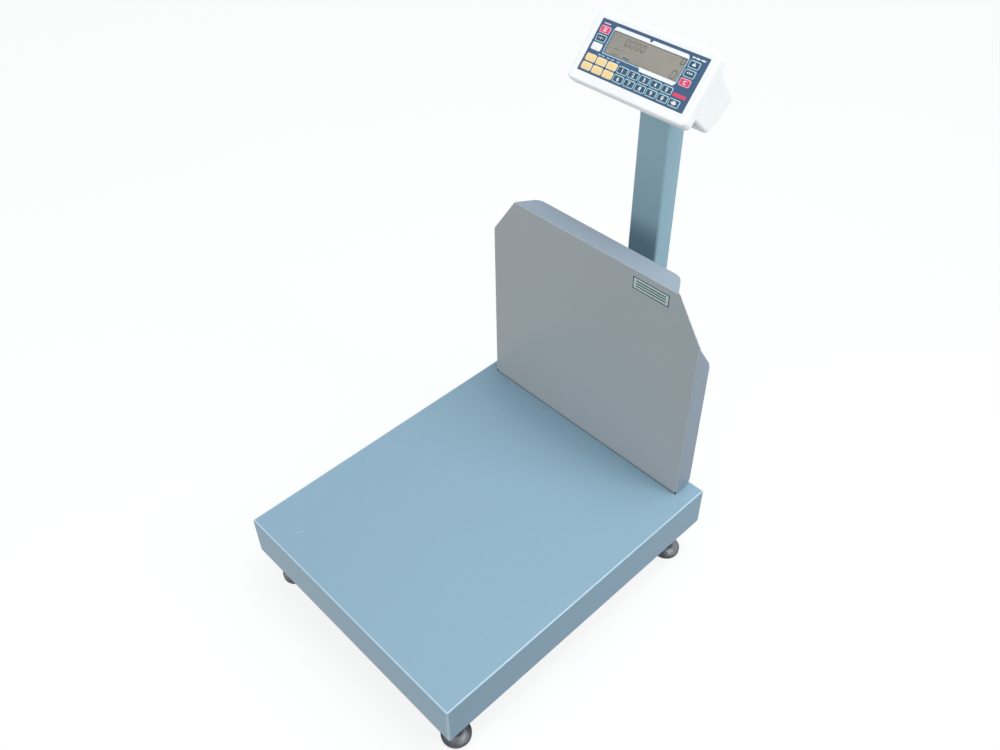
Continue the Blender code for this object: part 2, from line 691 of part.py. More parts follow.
def add_column(root, materials):
    """The column: a tube welded to its foot plate and mitred under the indicator."""
    at = (0, COLUMN_Y)
    outer = rounded(rectangle(COLUMN_WIDTH, COLUMN_DEPTH, at), COLUMN_CORNER)
    width, depth = COLUMN_WIDTH - 2 * COLUMN_WALL, COLUMN_DEPTH - 2 * COLUMN_WALL
    inner = rounded(rectangle(width, depth, at), COLUMN_CORNER - COLUMN_WALL)
    weld = (PLATE_LOW + PLATE_TOP) / 2
    tube = prism([outer, inner], weld, UNDERSIDE_HEIGHT + COLUMN_WIDTH)
    middle = (0, (PLATE_FRONT + REAR_END) / 2)
    plate = [rounded(rectangle(FOOT_PLATE_WIDTH, REAR_END - PLATE_FRONT, middle), COLUMN_CORNER)]
    plate.append(rectangle(width - 2 * FOOT_PLATE_SILL, depth - 2 * FOOT_PLATE_SILL, at))
    bolt = COLUMN_BOLT["radius"] + GAP
    plate += [circle(bolt, place, 12) for place in column_bolt_places()]
    foot = prism(plate, PLATE_LOW, PLATE_TOP)
    mitre = above_underside(-BRACKET_PLATE - 2 * GAP)
    add("column", smooth(fused([tube, foot], [mitre])), materials["paint"], root)
    bolt = bolt_with_nut(**COLUMN_BOLT, grip=FOOT_PLATE_SHEET + GAP + BASE_TUBE)
    for number, (x, y) in enumerate(column_bolt_places(), 1):
        add(f"column_bolt_{number}", bolt, materials["steel"], root, (x, y, PLATE_TOP))


def add_head_bracket(root, materials):
    """A sleeve inside the column's top, with a plate that the indicator stands on."""
    at = (0, COLUMN_Y)
    slack = 2 * (COLUMN_WALL + GAP)
    width, depth = COLUMN_WIDTH - slack, COLUMN_DEPTH - slack
    sleeve = prism(
        [
            rounded(rectangle(width, depth, at), COLUMN_CORNER - COLUMN_WALL),
            rectangle(width - 2 * BRACKET_WALL, depth - 2 * BRACKET_WALL, at),
        ],
        UNDERSIDE_HEIGHT - BRACKET_SLEEVE, UNDERSIDE_HEIGHT + COLUMN_WIDTH,
    )
    sleeve = fused([sleeve], [above_underside(-GAP - BRACKET_PLATE / 2)])
    outline = rounded(rectangle(BRACKET_WIDTH, BRACKET_LENGTH), COLUMN_CORNER)
    plate = prism([outline, circle(GLAND_ROOM)], -GAP - BRACKET_PLATE, -GAP)
    moved(plate, underside_frame())
    add("head_bracket", smooth(fused([sleeve, plate])), materials["steel"], root)


def slab_outline(step):
    width = 2 * (SLAB_HALF - step)
    height = SLAB_TOP - SLAB_BOTTOM - 2 * step
    middle = (0, (SLAB_TOP + SLAB_BOTTOM) / 2)
    return rounded(rectangle(width, height, middle), BEZEL_CORNER - step, segments=4)


def opened(mesh, depth):
    """The mesh above z = depth, left open there."""
    bm = bmesh.new()
    bm.from_mesh(mesh)
    bmesh.ops.bisect_plane(
        bm, geom=bm.verts[:] + bm.edges[:] + bm.faces[:], plane_co=(0, 0, depth),
        plane_no=(0, 0, 1), clear_inner=True,
    )
    return to_mesh(bm)


def add_front_shell(head, materials):
    """The indicator's front half: a rounded tray with a recess for the keypad."""
    spare = FRONT_DEPTH / 2
    slab = prism([slab_outline(0)], -FRONT_DEPTH - spare, BEZEL_PROUD)
    edge = {"width": BEZEL_EDGE, "segments": 3, "limit_method": "ANGLE",
            "angle_limit": math.radians(40)}
    slab = opened(modified(slab, ("BEVEL", edge)), -FRONT_DEPTH)
    wall = {"thickness": FRONT_WALL, "offset": -1, "use_even_offset": True}
    shell = modified(slab, ("SOLIDIFY", wall))
    overlay = rectangle(OVERLAY_WIDTH + 2 * GAP, OVERLAY_HEIGHT + 2 * GAP)
    recess = prism([rounded(overlay, OVERLAY_CORNER + GAP)], RECESS_FLOOR, BEZEL_PROUD + FRONT_WALL)
    ledge = 2 * WINDOW_LEDGE
    sight = rectangle(WINDOW_WIDTH - ledge, WINDOW_HEIGHT - ledge, WINDOW_CENTRE)
    opening = prism([sight], -FRONT_DEPTH, FRONT_WALL)
    shell = fused([shell], [recess, opening])
    add("front_shell", smooth(shell), materials["housing"], head)


def inset(corners, distance):
    """A counterclockwise outline with each side moved inwards."""
    moved_in = []
    for i, corner in enumerate(corners):
        before = (Vector(corner) - Vector(corners[i - 1])).normalized()
        after = (Vector(corners[(i + 1) % len(corners)]) - Vector(corner)).normalized()
        middle = (Vector((-before.y, before.x)) + Vector((-after.y, after.x))).normalized()
        reach = distance / middle.dot(Vector((-after.y, after.x)))
        moved_in.append(tuple(Vector(corner) + middle * reach))
    return moved_in


def body_solid(wall):
    """The rear body's outer form, or with a wall the room inside it."""
    top = BODY_TOP + (BODY_TOP - BODY_REAR_CORNER[0]) / 4
    profile = [(BODY_BOTTOM, 0.0), BODY_LOW_CORNER, BODY_REAR_CORNER, (top, 0.0)]
    outline = rounded(inset(profile, wall), [0, BODY_LOW_RADIUS - wall, 0, 0], segments=4)
    solid = moved(prism([outline], wall - BODY_HALF, BODY_HALF - wall), SIDEWAYS)
    edge = {"width": BODY_EDGE - wall, "segments": 3, "limit_method": "ANGLE",
            "angle_limit": math.radians(40)}
    return modified(solid, ("BEVEL", edge))


def add_rear_shell(head, materials):
    """The indicator's rear half: a deep body with a flange that closes the front shell."""
    middle = (FLANGE_FRONT + FLANGE_BACK) / 2
    size = 2 * SLAB_HALF + OVERLAY_HEIGHT
    ahead = block((size, size, size), (0, 0, middle + size / 2))
    body = fused([body_solid(0.0)], [body_solid(REAR_WALL), ahead])
    rim = 2 * REAR_WALL
    window = rectangle(
        2 * (BODY_HALF - rim), BODY_TOP - BODY_BOTTOM - 2 * rim, (0, (BODY_TOP + BODY_BOTTOM) / 2)
    )
    flange = prism([slab_outline(FLANGE_STEP), window], FLANGE_BACK, FLANGE_FRONT)
    to_head = head_frame().inverted() @ underside_frame()
    hole = moved(rod(GLAND_NECK + GAP, -REAR_WALL, 2 * REAR_WALL), to_head)
    shell = fused([body, flange], [hole])
    add("rear_shell", smooth(shell), materials["housing"], head)


def head_frame():
    """The indicator's frame. The bracket carries its underside, so it is placed from there."""
    slope = UNDERSIDE.y / UNDERSIDE.x
    depth = BODY_LOW_CORNER[1] + slope * (BRACKET_PLACE - BODY_LOW_CORNER[0])
    tilt = Matrix.Rotation(HEAD_TILT, 4, "X")
    place = Vector((0, COLUMN_Y, UNDERSIDE_HEIGHT)) - tilt @ Vector((0, BRACKET_PLACE, depth))
    return Matrix.Translation(place) @ tilt


def key_places():
    """Each key's name, material and centre, in the indicator's frame."""
    columns = [KEY_FIRST_X + KEY_PITCH_X * i - OVERLAY_WIDTH / 2 for i in range(9)]
    lower, upper = KEY_FIRST_Y - OVERLAY_HEIGHT / 2, KEY_UPPER_Y - OVERLAY_HEIGHT / 2
    rows = [lower, lower + KEY_PITCH_Y, upper, upper + KEY_PITCH_Y, upper + 2 * KEY_PITCH_Y]
    places = []
    for number in range(6):
        at = (columns[number % 3], rows[1 - number // 3])
        places.append((f"key_preset_{number + 1}", "yellow", at))
    for number in range(10):
        at = (columns[3 + number % 5], rows[1 - number // 5])
        places.append((f"key_{(number + 1) % 10}", "overlay", at))
    sides = [
        ("key_zero", "white", 0, 2), ("key_tare", "overlay", 0, 3), ("key_power", "red", 0, 4),
        ("key_print", "overlay", 8, 0), ("key_clear", "red", 8, 2), ("key_sample", "overlay", 8, 3),
        ("key_weight", "overlay", 8, 4),
    ]
    places += [(name, colour, (columns[i], rows[j])) for name, colour, i, j in sides]
    return places


def add_keypad(head, materials):
    """The printed overlay, its display window, and the keys that give in its openings."""
    hole = rounded(rectangle(KEY_WIDTH + 2 * GAP, KEY_HEIGHT + 2 * GAP), KEY_CORNER + GAP)
    window = rectangle(WINDOW_WIDTH, WINDOW_HEIGHT, WINDOW_CENTRE)
    outlines = [rounded(rectangle(OVERLAY_WIDTH, OVERLAY_HEIGHT), OVERLAY_CORNER), window]
    outlines += [[(x + u, y + v) for x, y in hole] for _, _, (u, v) in key_places()]
    sheet = prism(outlines, -OVERLAY_SHEET, 0)
    add("keypad_overlay", sheet, materials["overlay"], head)
    pane = rectangle(WINDOW_WIDTH - 2 * GAP, WINDOW_HEIGHT - 2 * GAP, WINDOW_CENTRE)
    add("display_window", prism([pane], -OVERLAY_SHEET, 0), materials["window"], head)
    outline = rounded(rectangle(KEY_WIDTH, KEY_HEIGHT), KEY_CORNER)
    for colour in ("yellow", "overlay", "red", "white"):
        key = prism([outline], KEY_PROUD - KEY_SHEET, KEY_PROUD)
        for name, own, (u, v) in key_places():
            if own == colour:
                add(name, key, materials[colour], head, (u, v, 0))


def add_electronics(head, materials):
    """What the indicator holds: the display module, the main board and the battery."""
    u, v = WINDOW_CENTRE
    size = (WINDOW_WIDTH + LCD_MARGIN, WINDOW_HEIGHT + LCD_MARGIN, LCD_DEPTH)
    module = block(size, (u, v, LCD_FRONT - LCD_DEPTH / 2))
    add("lcd_module", module, materials["black"], head)
    board = rounded(rectangle(BOARD_WIDTH, BOARD_HEIGHT), BOARD_CORNER)
    add("main_board", prism([board], BOARD_FRONT - BOARD_SHEET, BOARD_FRONT), materials["board"], head)
    width, height, depth = BATTERY_SIZE
    front = FLANGE_BACK - GAP
    flare = (BODY_LOW_CORNER[0] - BODY_BOTTOM) / BODY_LOW_CORNER[1]
    wall = BODY_BOTTOM + (front - BATTERY_EDGE) * flare
    low = wall + (REAR_WALL + GAP) * math.hypot(1, flare)
    middle = (0, low + height / 2, front - depth / 2)
    edge = {"width": BATTERY_EDGE, "segments": 2}
    pack = modified(block((width, height, depth)), ("BEVEL", edge))
    add("battery", smooth(moved(pack, Matrix.Translation(middle))), materials["sleeve"], head)


def add_gland(root, materials):
    """The cable gland in the indicator's underside, over the column's bore."""
    inside = REAR_WALL + GAP
    profile = [
        (GLAND_BORE, inside + GLAND_HEAD / 2), (GLAND_RADIUS, inside + GLAND_HEAD / 2),
        (GLAND_RADIUS, inside), (GLAND_NECK, inside), (GLAND_NECK, -GAP), (GLAND_RADIUS, -GAP),
        (GLAND_RADIUS, -GAP - GLAND_HEAD / 2), (GLAND_NECK, -GAP - GLAND_HEAD),
        (GLAND_BORE, -GAP - GLAND_HEAD),
    ]
    gland = smooth(turned([*profile, profile[0]], 16))
    place = (0, COLUMN_Y, UNDERSIDE_HEIGHT)
    add("cable_gland", gland, materials["black"], root, place, UNDERSIDE_ANGLE)


def main():
    clear_scene()
    parts = bpy.data.collections.new("counting_scale")
    bpy.context.scene.collection.children.link(parts)
    materials = make_materials()
    root = add_empty("scale_origin", location=(0, PLATFORM_Y, 0))
    add_cover(root, materials)
    add_backrest(root, materials)
    add_top_frame(root, materials)
    add_base_frame(root, materials)
    add_load_cell(root, materials)
    add_feet(root, materials)
    add_stops(root, materials)
    add_column(root, materials)
    add_head_bracket(root, materials)
    head = add_empty("indicator_origin", root, head_frame().to_translation(), HEAD_TILT)
    add_front_shell(head, materials)
    add_rear_shell(head, materials)
    add_keypad(head, materials)
    add_electronics(head, materials)
    add_gland(root, materials)


main()
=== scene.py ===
"""Dresses a counting scale's CAD frame: painted sheet metal, a moulded indicator with a printed
keypad and a display, turned feet, fasteners, and a small studio. Lengths are in metres."""

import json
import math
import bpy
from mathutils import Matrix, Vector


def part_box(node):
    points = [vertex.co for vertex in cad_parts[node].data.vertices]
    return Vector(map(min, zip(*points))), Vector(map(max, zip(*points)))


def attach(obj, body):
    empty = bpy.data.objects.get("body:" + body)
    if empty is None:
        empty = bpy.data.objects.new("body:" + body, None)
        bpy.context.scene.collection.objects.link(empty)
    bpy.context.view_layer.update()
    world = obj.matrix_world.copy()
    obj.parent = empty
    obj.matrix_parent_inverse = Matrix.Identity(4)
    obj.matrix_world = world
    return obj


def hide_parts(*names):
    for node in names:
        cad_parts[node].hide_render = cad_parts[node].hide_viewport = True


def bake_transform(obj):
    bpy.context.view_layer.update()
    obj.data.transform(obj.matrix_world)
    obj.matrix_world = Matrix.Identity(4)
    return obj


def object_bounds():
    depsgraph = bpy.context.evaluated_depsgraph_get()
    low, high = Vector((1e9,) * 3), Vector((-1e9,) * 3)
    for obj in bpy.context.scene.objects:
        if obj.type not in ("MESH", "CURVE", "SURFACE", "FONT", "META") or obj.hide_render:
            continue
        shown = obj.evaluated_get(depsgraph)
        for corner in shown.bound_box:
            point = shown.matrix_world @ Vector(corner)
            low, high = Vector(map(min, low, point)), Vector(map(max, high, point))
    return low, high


bl_info = {
    "name": "Counting Scale",
    "version": (1, 0, 0),
    "blender": (4, 5, 0),
    "location": "View3D > Sidebar > Scale",
    "description": "Finishes and fine detail for a counting scale on its CAD frame",
    "category": "Object",
}

import bmesh
import bpy
from bpy.props import FloatProperty, FloatVectorProperty, IntProperty, PointerProperty
from mathutils import Euler, Matrix, Vector

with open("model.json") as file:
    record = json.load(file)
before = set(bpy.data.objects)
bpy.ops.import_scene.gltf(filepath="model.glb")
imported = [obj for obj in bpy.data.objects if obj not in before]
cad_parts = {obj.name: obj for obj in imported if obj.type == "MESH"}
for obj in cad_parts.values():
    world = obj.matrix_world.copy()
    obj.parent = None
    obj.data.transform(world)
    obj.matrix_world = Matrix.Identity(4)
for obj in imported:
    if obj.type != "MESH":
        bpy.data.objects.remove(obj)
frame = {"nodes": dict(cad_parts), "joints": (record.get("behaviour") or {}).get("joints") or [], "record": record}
CAD_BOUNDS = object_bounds()

MM = 0.001
WELD = 1e-5  # points nearer than this are welded
INK = 0.00005  # thickness of a print
HAIR = 0.00002  # how deep a print sits in what it lies on
FLAT_NORMALS = 50  # weight that keeps large flat faces flat
ON_FACE = 0.97  # a polygon that faces a sheet's front this well is part of it
WHITE = (1.0, 1.0, 1.0, 1.0)

PLAIN_KEYS = [f"key_{digit}" for digit in range(10)]
YELLOW_KEYS = [f"key_preset_{number}" for number in range(1, 7)]
SIDE_KEYS = [
    "key_power", "key_tare", "key_zero", "key_weight", "key_sample", "key_clear", "key_print",
]
CORNERS = (1, 2, 3, 4)


def colour(name, description, value):
    return FloatVectorProperty(
        name=name, description=description, subtype="COLOR", size=3, min=0, max=1, default=value
    )


def length(name, description, value):
    return FloatProperty(
        name=name, description=description, unit="LENGTH", precision=5, default=value
    )


def power(name, description, value):
    return FloatProperty(
        name=name, description=description, unit="POWER", min=0, default=value
    )


def whole_number(name, description, value):
    return IntProperty(name=name, description=description, min=1, default=value)


class ScaleFinishes(bpy.types.PropertyGroup):
    """Colours of the painted, moulded and plated pieces."""

    paint: colour("Paint", "Powder coat of the platform", (0.274, 0.411, 0.512))
    paint_deep: colour("Deep Paint", "The paint's darker clouds", (0.264, 0.398, 0.498))
    fleck: colour("Fleck", "Pale flecks in the powder coat", (0.42, 0.54, 0.62))
    backrest: colour("Backrest", "Paint of the backrest's flanges and back", (0.312, 0.368, 0.437))
    backrest_deep: colour("Deep Backrest", "Clouds in the backrest's paint", (0.302, 0.358, 0.427))
    backrest_fleck: colour("Backrest Fleck", "Flecks in the backrest's paint", (0.37, 0.42, 0.48))
    # Column, Deep Column and Column Fleck: the platform's paint made lighter and greener, painted light on the
    # column
    column: colour("Column", "Paint of the column", (0.329, 0.493, 0.579))
    column_deep: colour("Deep Column", "Clouds in the column's paint", (0.317, 0.478, 0.563))
    column_fleck: colour("Column Fleck", "Flecks in the column's paint", (0.48, 0.62, 0.68))
    # Face: the backrest's paint made paler on its front, painted light on that side
    face: colour("Face", "Paler paint of the backrest's front", (0.435, 0.468, 0.485))
    # The next two colours are painted highlights: pale paint on the sheets' bends where light would glint
    fold_highlight: colour("Fold", "The platform's paint, worn pale", (0.47, 0.62, 0.71))
    backrest_fold_highlight: colour("Backrest Fold", "The backrest's paint, worn pale", (0.52, 0.57, 0.60))
    scratch: colour("Scratch", "Bare primer in the scratch", (0.52, 0.66, 0.73))
    seam: colour("Seam", "Shade between the backrest and the pan", (0.035, 0.05, 0.06))
    primer: colour("Frame Paint", "Paint of the frames under the platform", (0.20, 0.27, 0.33))
    housing: colour("Housing", "Moulded plastic of the indicator", (0.96, 0.96, 0.955))
    zinc: colour("Zinc", "Plating of bolts, nuts and studs", (0.52, 0.52, 0.50))
    pad: colour("Foot Disc", "Metal of the feet's discs", (0.25, 0.262, 0.287))
    sole: colour("Sole", "Rubber under the feet's discs", (0.03, 0.03, 0.03))
    aluminium: colour("Aluminium", "Milled load cell", (0.72, 0.73, 0.75))
    nylon: colour("Nylon", "Cable gland and display frame", (0.02, 0.02, 0.02))
    board: colour("Board", "Circuit board", (0.02, 0.16, 0.06))
    battery: colour("Battery", "Sleeve of the battery", (0.03, 0.07, 0.2))
    label: colour("Label", "Plate of the blank label", (0.56, 0.67, 0.67))
    label_print: colour("Label Print", "Frame and ruled lines of the label", (0.012, 0.04, 0.036))


class ScaleLabel(bpy.types.PropertyGroup):
    """Size and place of the backrest's blank label."""

    width: length("Width", "Width of the label", 0.0735)
    height: length("Height", "Height of the label", 0.025)
    from_left: length("From Left", "Backrest's left edge to the label's middle", 0.3476)
    from_top: length("From Top", "Backrest's top edge to the label's middle", 0.0240)
    corner: length("Corner", "Corner radius of the label", 0.0012)
    sheet: length("Sheet", "Thickness of the label", 0.0002)
    margin: length("Margin", "Bare edge round the frame", 0.0008)
    frame: length("Frame", "Width of the printed frame", 0.0020)
    rule: length("Rule", "Width of a ruled line", 0.0021)
    rows: whole_number("Rows", "Number of ruled lines", 3)


class ScaleFolds(bpy.types.PropertyGroup):
    """Fine shape of the backrest's flanges and foot."""

    trim: length("Trim", "How far the flanges are cut back from the solid's", 0.007)
    free_edge: length("Free Edge", "Depth of the flanges' rounded free corners", 0.0115)
    sheet: length("Sheet", "Thickness of the backrest's sheet", 0.002)
    corner_width: length("Corner Width", "Width of the backrest's cut corners", 0.052)
    corner_height: length("Corner Height", "Height of the backrest's cut corners", 0.078)
    scratch: length("Scratch", "Width of the scratch on the pan", 0.0011)
    scratch_run: length("Scratch Run", "Length of the scratch", 0.0225)
    scratch_left: length("Scratch Left", "Pan's left edge to the scratch", 0.0727)
    scratch_front: length("Scratch Front", "Pan's front edge to the scratch", 0.0308)
    # Seam: height of the painted shade line under the backrest
    seam: length("Seam", "Height of the dark line under the backrest", 0.0012)
    relief: length("Relief", "Width of the notches at the backrest's lower corners", 0.0032)


class ScaleKeypad(bpy.types.PropertyGroup):
    """Sizes and inks of the keypad."""

    ring: length("Ring", "Width of the outline round each key", 0.0012)
    step: length("Step", "Width of the step up to a key's top", 0.0005)
    crown: length("Crown", "Height of a key's top over the film", 0.0004)
    corner: length("Corner", "Corner radius of a key", 0.0022)
    digit: length("Digit", "Height of a key's digit", 0.0056)
    word: length("Word", "Height of the words on the upper left key", 0.0026)
    word_rise: length("Word Rise", "Key's middle to the middle of a word", 0.0018)
    film: colour("Film", "Dark blue of the printed film", (0.036, 0.095, 0.20))
    key: colour("Key", "Dark blue of the keys", (0.022, 0.072, 0.135))
    outline: colour("Outline", "Pale ink round the keys and the display", (0.48, 0.76, 0.84))
    white: colour("White Ink", "White ink of digits and bars", (0.94, 0.95, 0.96))
    grey: colour("Grey Ink", "Mark on the white key", (0.30, 0.30, 0.32))
    yellow: colour("Yellow", "Top of the yellow keys", (0.95, 0.70, 0.33))
    yellow_edge: colour("Yellow Edge", "Edge of the yellow keys", (0.96, 0.84, 0.60))
    red: colour("Red", "Top of the red keys and the red bar", (0.76, 0.06, 0.15))
    red_edge: colour("Red Edge", "Edge of the red keys", (0.93, 0.50, 0.64))


class ScaleDisplay(bpy.types.PropertyGroup):
    """Sizes and colours of the display."""

    depth: length("Depth", "Depth of the display's face under its window", 0.0009)
    pane: length("Pane", "Thickness of the clear window", 0.0003)
    digit_height: length("Digit Height", "Height of the upper digits", 0.0118)
    digit_width: length("Digit Width", "Width of the upper digits", 0.0072)
    low_height: length("Low Height", "Height of the lower digit", 0.0130)
    low_width: length("Low Width", "Width of the lower digit", 0.0088)
    pitch: length("Pitch", "Distance between digits", 0.0097)
    stroke: length("Stroke", "Width of a segment", 0.0016)
    slant: FloatProperty(
        name="Slant", description="Lean of the digits", subtype="ANGLE", default=math.radians(7)
    )
    face: colour("Face", "Grey-brown reflector behind the digits", (0.30, 0.265, 0.215))
    face_deep: colour("Deep Face", "The reflector's darker side", (0.22, 0.20, 0.165))
    segment: colour("Segment", "A digit's segments", (0.05, 0.046, 0.042))
    shadow: colour("Shadow", "The segments' shadows on the reflector", (0.225, 0.20, 0.165))
    shadow_right: length("Shadow Right", "How far right a shadow falls", 0.0005)
    shadow_down: length("Shadow Down", "How far down a shadow falls", 0.0004)
    window: colour("Window", "Tint of the clear window", (0.75, 0.75, 0.72))


class ScaleHardware(bpy.types.PropertyGroup):
    """Sizes of the feet and fasteners."""

    pitch: length("Thread Pitch", "Pitch of the feet's studs", 0.00175)
    thread: length("Thread Depth", "Depth of the studs' thread", 0.0009)
    stud: length("Stud", "Radius of the studs", 0.006)
    collar: length("Collar", "Height of a stud's hexagon", 0.006)
    collar_corner: length("Collar Corner", "Middle of a stud's hexagon to its corner", 0.0098)
    sole: length("Sole", "Height of the rubber sole", 0.0028)
    bead: length("Weld Bead", "Radius of the weld round the column's foot", 0.0032)
    column_width: length("Column Width", "Width of the column's tube", 0.060)
    column_depth: length("Column Depth", "Depth of the column's tube", 0.040)
    foot_plate: length("Foot Plate", "Thickness of the column's foot plate", 0.006)
    screw: length("Screw", "Radius of the housing's screw heads", 0.0030)
    screw_side: length("Screw Side", "Housing's middle to its outer screws", 0.088)
    screw_top: length("Screw Top", "Housing's upper edge to its upper screws", 0.0065)
    screw_bottom: length("Screw Bottom", "Housing's lower edge to its lower screws", 0.0080)
    ripples: whole_number("Ripples", "Ripples along the weld", 90)


class ScaleStudio(bpy.types.PropertyGroup):
    """Camera, lamps and floor."""

    camera_place: FloatVectorProperty(
        name="Camera Place", description="Where the camera stands", subtype="TRANSLATION", size=3,
        default=(0.8244, -0.7887, 1.4864),
    )
    camera_turn: FloatVectorProperty(
        name="Camera Turn", description="The camera's rotation", subtype="EULER", size=3,
        default=tuple(math.radians(angle) for angle in (46.969, 0.7744, 46.112)),
    )
    lens: FloatProperty(
        name="Lens", description="Focal length of the camera", unit="CAMERA", min=1,
        default=35.584,
    )
    sky: colour("Sky", "Soft light from all sides", (0.86, 0.95, 1.0))
    sky_strength: FloatProperty(
        name="Sky Strength", description="Strength of the soft light", min=0, default=0.5
    )
    top_lamp: power("Top Lamp", "Power of the lamp overhead", 134.0)
    front_lamp: power("Front Lamp", "Power of the lamp in front", 64.0)
    side_lamp: power("Side Lamp", "Power of the lamp at the right", 2.5)
    head_lamp: power("Head Lamp", "Power of the lamp beside the indicator", 5.0)
    floor: length("Floor", "Side of the square floor", 30.0)
    bounce: colour("Bounce", "The floor's colour for the light it throws back", (0.38, 0.39, 0.40))
    paleness: FloatProperty(
        name="Paleness", description="How far the floor is lifted to white", subtype="FACTOR",
        min=0, max=1, default=0.85,
    )


SETTINGS = {
    "scale_finishes": ScaleFinishes,
    "scale_label": ScaleLabel,
    "scale_folds": ScaleFolds,
    "scale_keypad": ScaleKeypad,
    "scale_display": ScaleDisplay,
    "scale_hardware": ScaleHardware,
    "scale_studio": ScaleStudio,
}


def settings(name):
    return getattr(bpy.context.scene, name)


# Node trees


def add_node(tree, kind, inputs=None, **options):
    """Adds a node. A value in inputs is a number, a colour or another node's output."""
    made = tree.nodes.new(kind)
    for name, value in options.items():
        setattr(made, name, value)
    for key, value in (inputs or {}).items():
        if isinstance(value, bpy.types.NodeSocket):
            tree.links.new(value, made.inputs[key])
        else:
            made.inputs[key].default_value = value
    return made


def opaque(value):
    return (*value, 1.0)


# Each of the next helpers adds one node and returns its output


def maths(tree, operation, *values):
    inputs = dict(enumerate(values))
    return add_node(tree, "ShaderNodeMath", inputs, operation=operation).outputs[0]


def scaled(tree, place, factors):
    inputs = {0: place, 1: factors}
    return add_node(tree, "ShaderNodeVectorMath", inputs, operation="MULTIPLY").outputs[0]


def mixed(tree, factor, first, second):
    inputs = {0: factor, 6: first, 7: second}
    return add_node(tree, "ShaderNodeMix", inputs, data_type="RGBA").outputs[2]


def mixed_shader(tree, factor, first, second):
    return add_node(tree, "ShaderNodeMixShader", {0: factor, 1: first, 2: second}).outputs[0]


def ranged(tree, value, low, high, to_low, to_high):
    inputs = {0: value, 1: low, 2: high, 3: to_low, 4: to_high}
    return add_node(tree, "ShaderNodeMapRange", inputs).outputs[0]


def noise(tree, place, scale, detail=2.0, roughness=0.5):
    inputs = {"Vector": place, "Scale": scale, "Detail": detail, "Roughness": roughness}
    return add_node(tree, "ShaderNodeTexNoise", inputs).outputs["Fac"]


def object_place(tree):
    return add_node(tree, "ShaderNodeTexCoord").outputs["Object"]


# Effects. Each works on its inputs and the place on the piece, and returns a tint, what it adds to
# the roughness, and a height


def powder_coat(tree, given, place):
    """Sprayed and baked paint: soft clouds, fine pale flecks and an orange-peel surface."""
    clouds = ranged(tree, noise(tree, place, 3.0, 1.0), 0.25, 0.75, 0.0, 1.0)
    blotches = ranged(tree, noise(tree, place, 90.0), 0.3, 0.8, 0.0, 0.25)
    flecks = ranged(tree, noise(tree, place, 700.0, 1.0), 0.60, 0.74, 0.0, 0.3)
    tint = mixed(tree, clouds, given["Deep"], given["Colour"])
    tint = mixed(tree, blotches, tint, given["Deep"])
    tint = mixed(tree, flecks, tint, given["Fleck"])
    spread = ranged(tree, noise(tree, place, 4.0, 1.0), 0.25, 0.75, -0.02, 0.03)
    return tint, spread, noise(tree, place, 320.0)


def moulded_grain(tree, given, place):
    """Spark-eroded plastic: a fine even grain and a faint change of tone."""
    tone = ranged(tree, noise(tree, place, 14.0, 3.0), 0.35, 0.7, 0.0, 1.0)
    tint = mixed(tree, tone, given["Colour"], given["Deep"])
    spread = ranged(tree, noise(tree, place, 40.0), 0.3, 0.7, -0.04, 0.05)
    return tint, spread, noise(tree, place, given["Grain"], 1.0)


def worked_metal(tree, given, place):
    """Plated or milled metal: streaks along one axis, cloudy tarnish and fine pits."""
    combed = scaled(tree, place, (1.0, 0.06, 1.0))
    streaks = noise(tree, combed, given["Streak"], 4.0, 0.7)
    tarnish = ranged(tree, noise(tree, place, 55.0, 4.0, 0.6), 0.4, 0.7, 0.0, 1.0)
    tint = mixed(tree, tarnish, given["Colour"], given["Deep"])
    height = maths(tree, "ADD", streaks, noise(tree, place, 1200.0, 1.0))
    return tint, ranged(tree, streaks, 0.3, 0.7, -0.07, 0.10), height


def turned_rings(tree, given, place):
    """Metal cut on a lathe about its own Z axis: fine grooves, painted shade darkening the hub round the stud, and
    a darker rim.
    """
    flat = scaled(tree, place, (1.0, 1.0, 0.0))
    reach = add_node(tree, "ShaderNodeVectorMath", {0: flat}, operation="LENGTH").outputs["Value"]
    turns = maths(tree, "DIVIDE", reach, given["Groove"])
    grooves = maths(tree, "SINE", maths(tree, "MULTIPLY", turns, 2 * math.pi))
    share = maths(tree, "DIVIDE", reach, given["Radius"])
    # Painted shade: darker towards the stud in the middle of the disc
    hub_shade = ranged(tree, share, 0.42, 0.62, 1.0, 0.0)
    rim = ranged(tree, share, 0.9, 1.0, 0.0, 1.0)
    smudge = ranged(tree, noise(tree, place, 120.0, 3.0), 0.4, 0.7, 0.0, 0.4)
    dark = maths(tree, "MAXIMUM", maths(tree, "MAXIMUM", hub_shade, rim), smudge)
    tint = mixed(tree, dark, given["Colour"], given["Deep"])
    return tint, ranged(tree, grooves, -1.0, 1.0, -0.04, 0.06), grooves


GREY = (0.5, 0.5, 0.5, 1.0)
EFFECTS = {
    "Powder Coat": (powder_coat, {"Fleck": GREY}),
    "Moulded Grain": (moulded_grain, {"Grain": 1500.0}),
    "Worked Metal": (worked_metal, {"Streak": 40.0}),
    "Turned Rings": (turned_rings, {"Groove": 0.0009, "Radius": 0.025}),
}


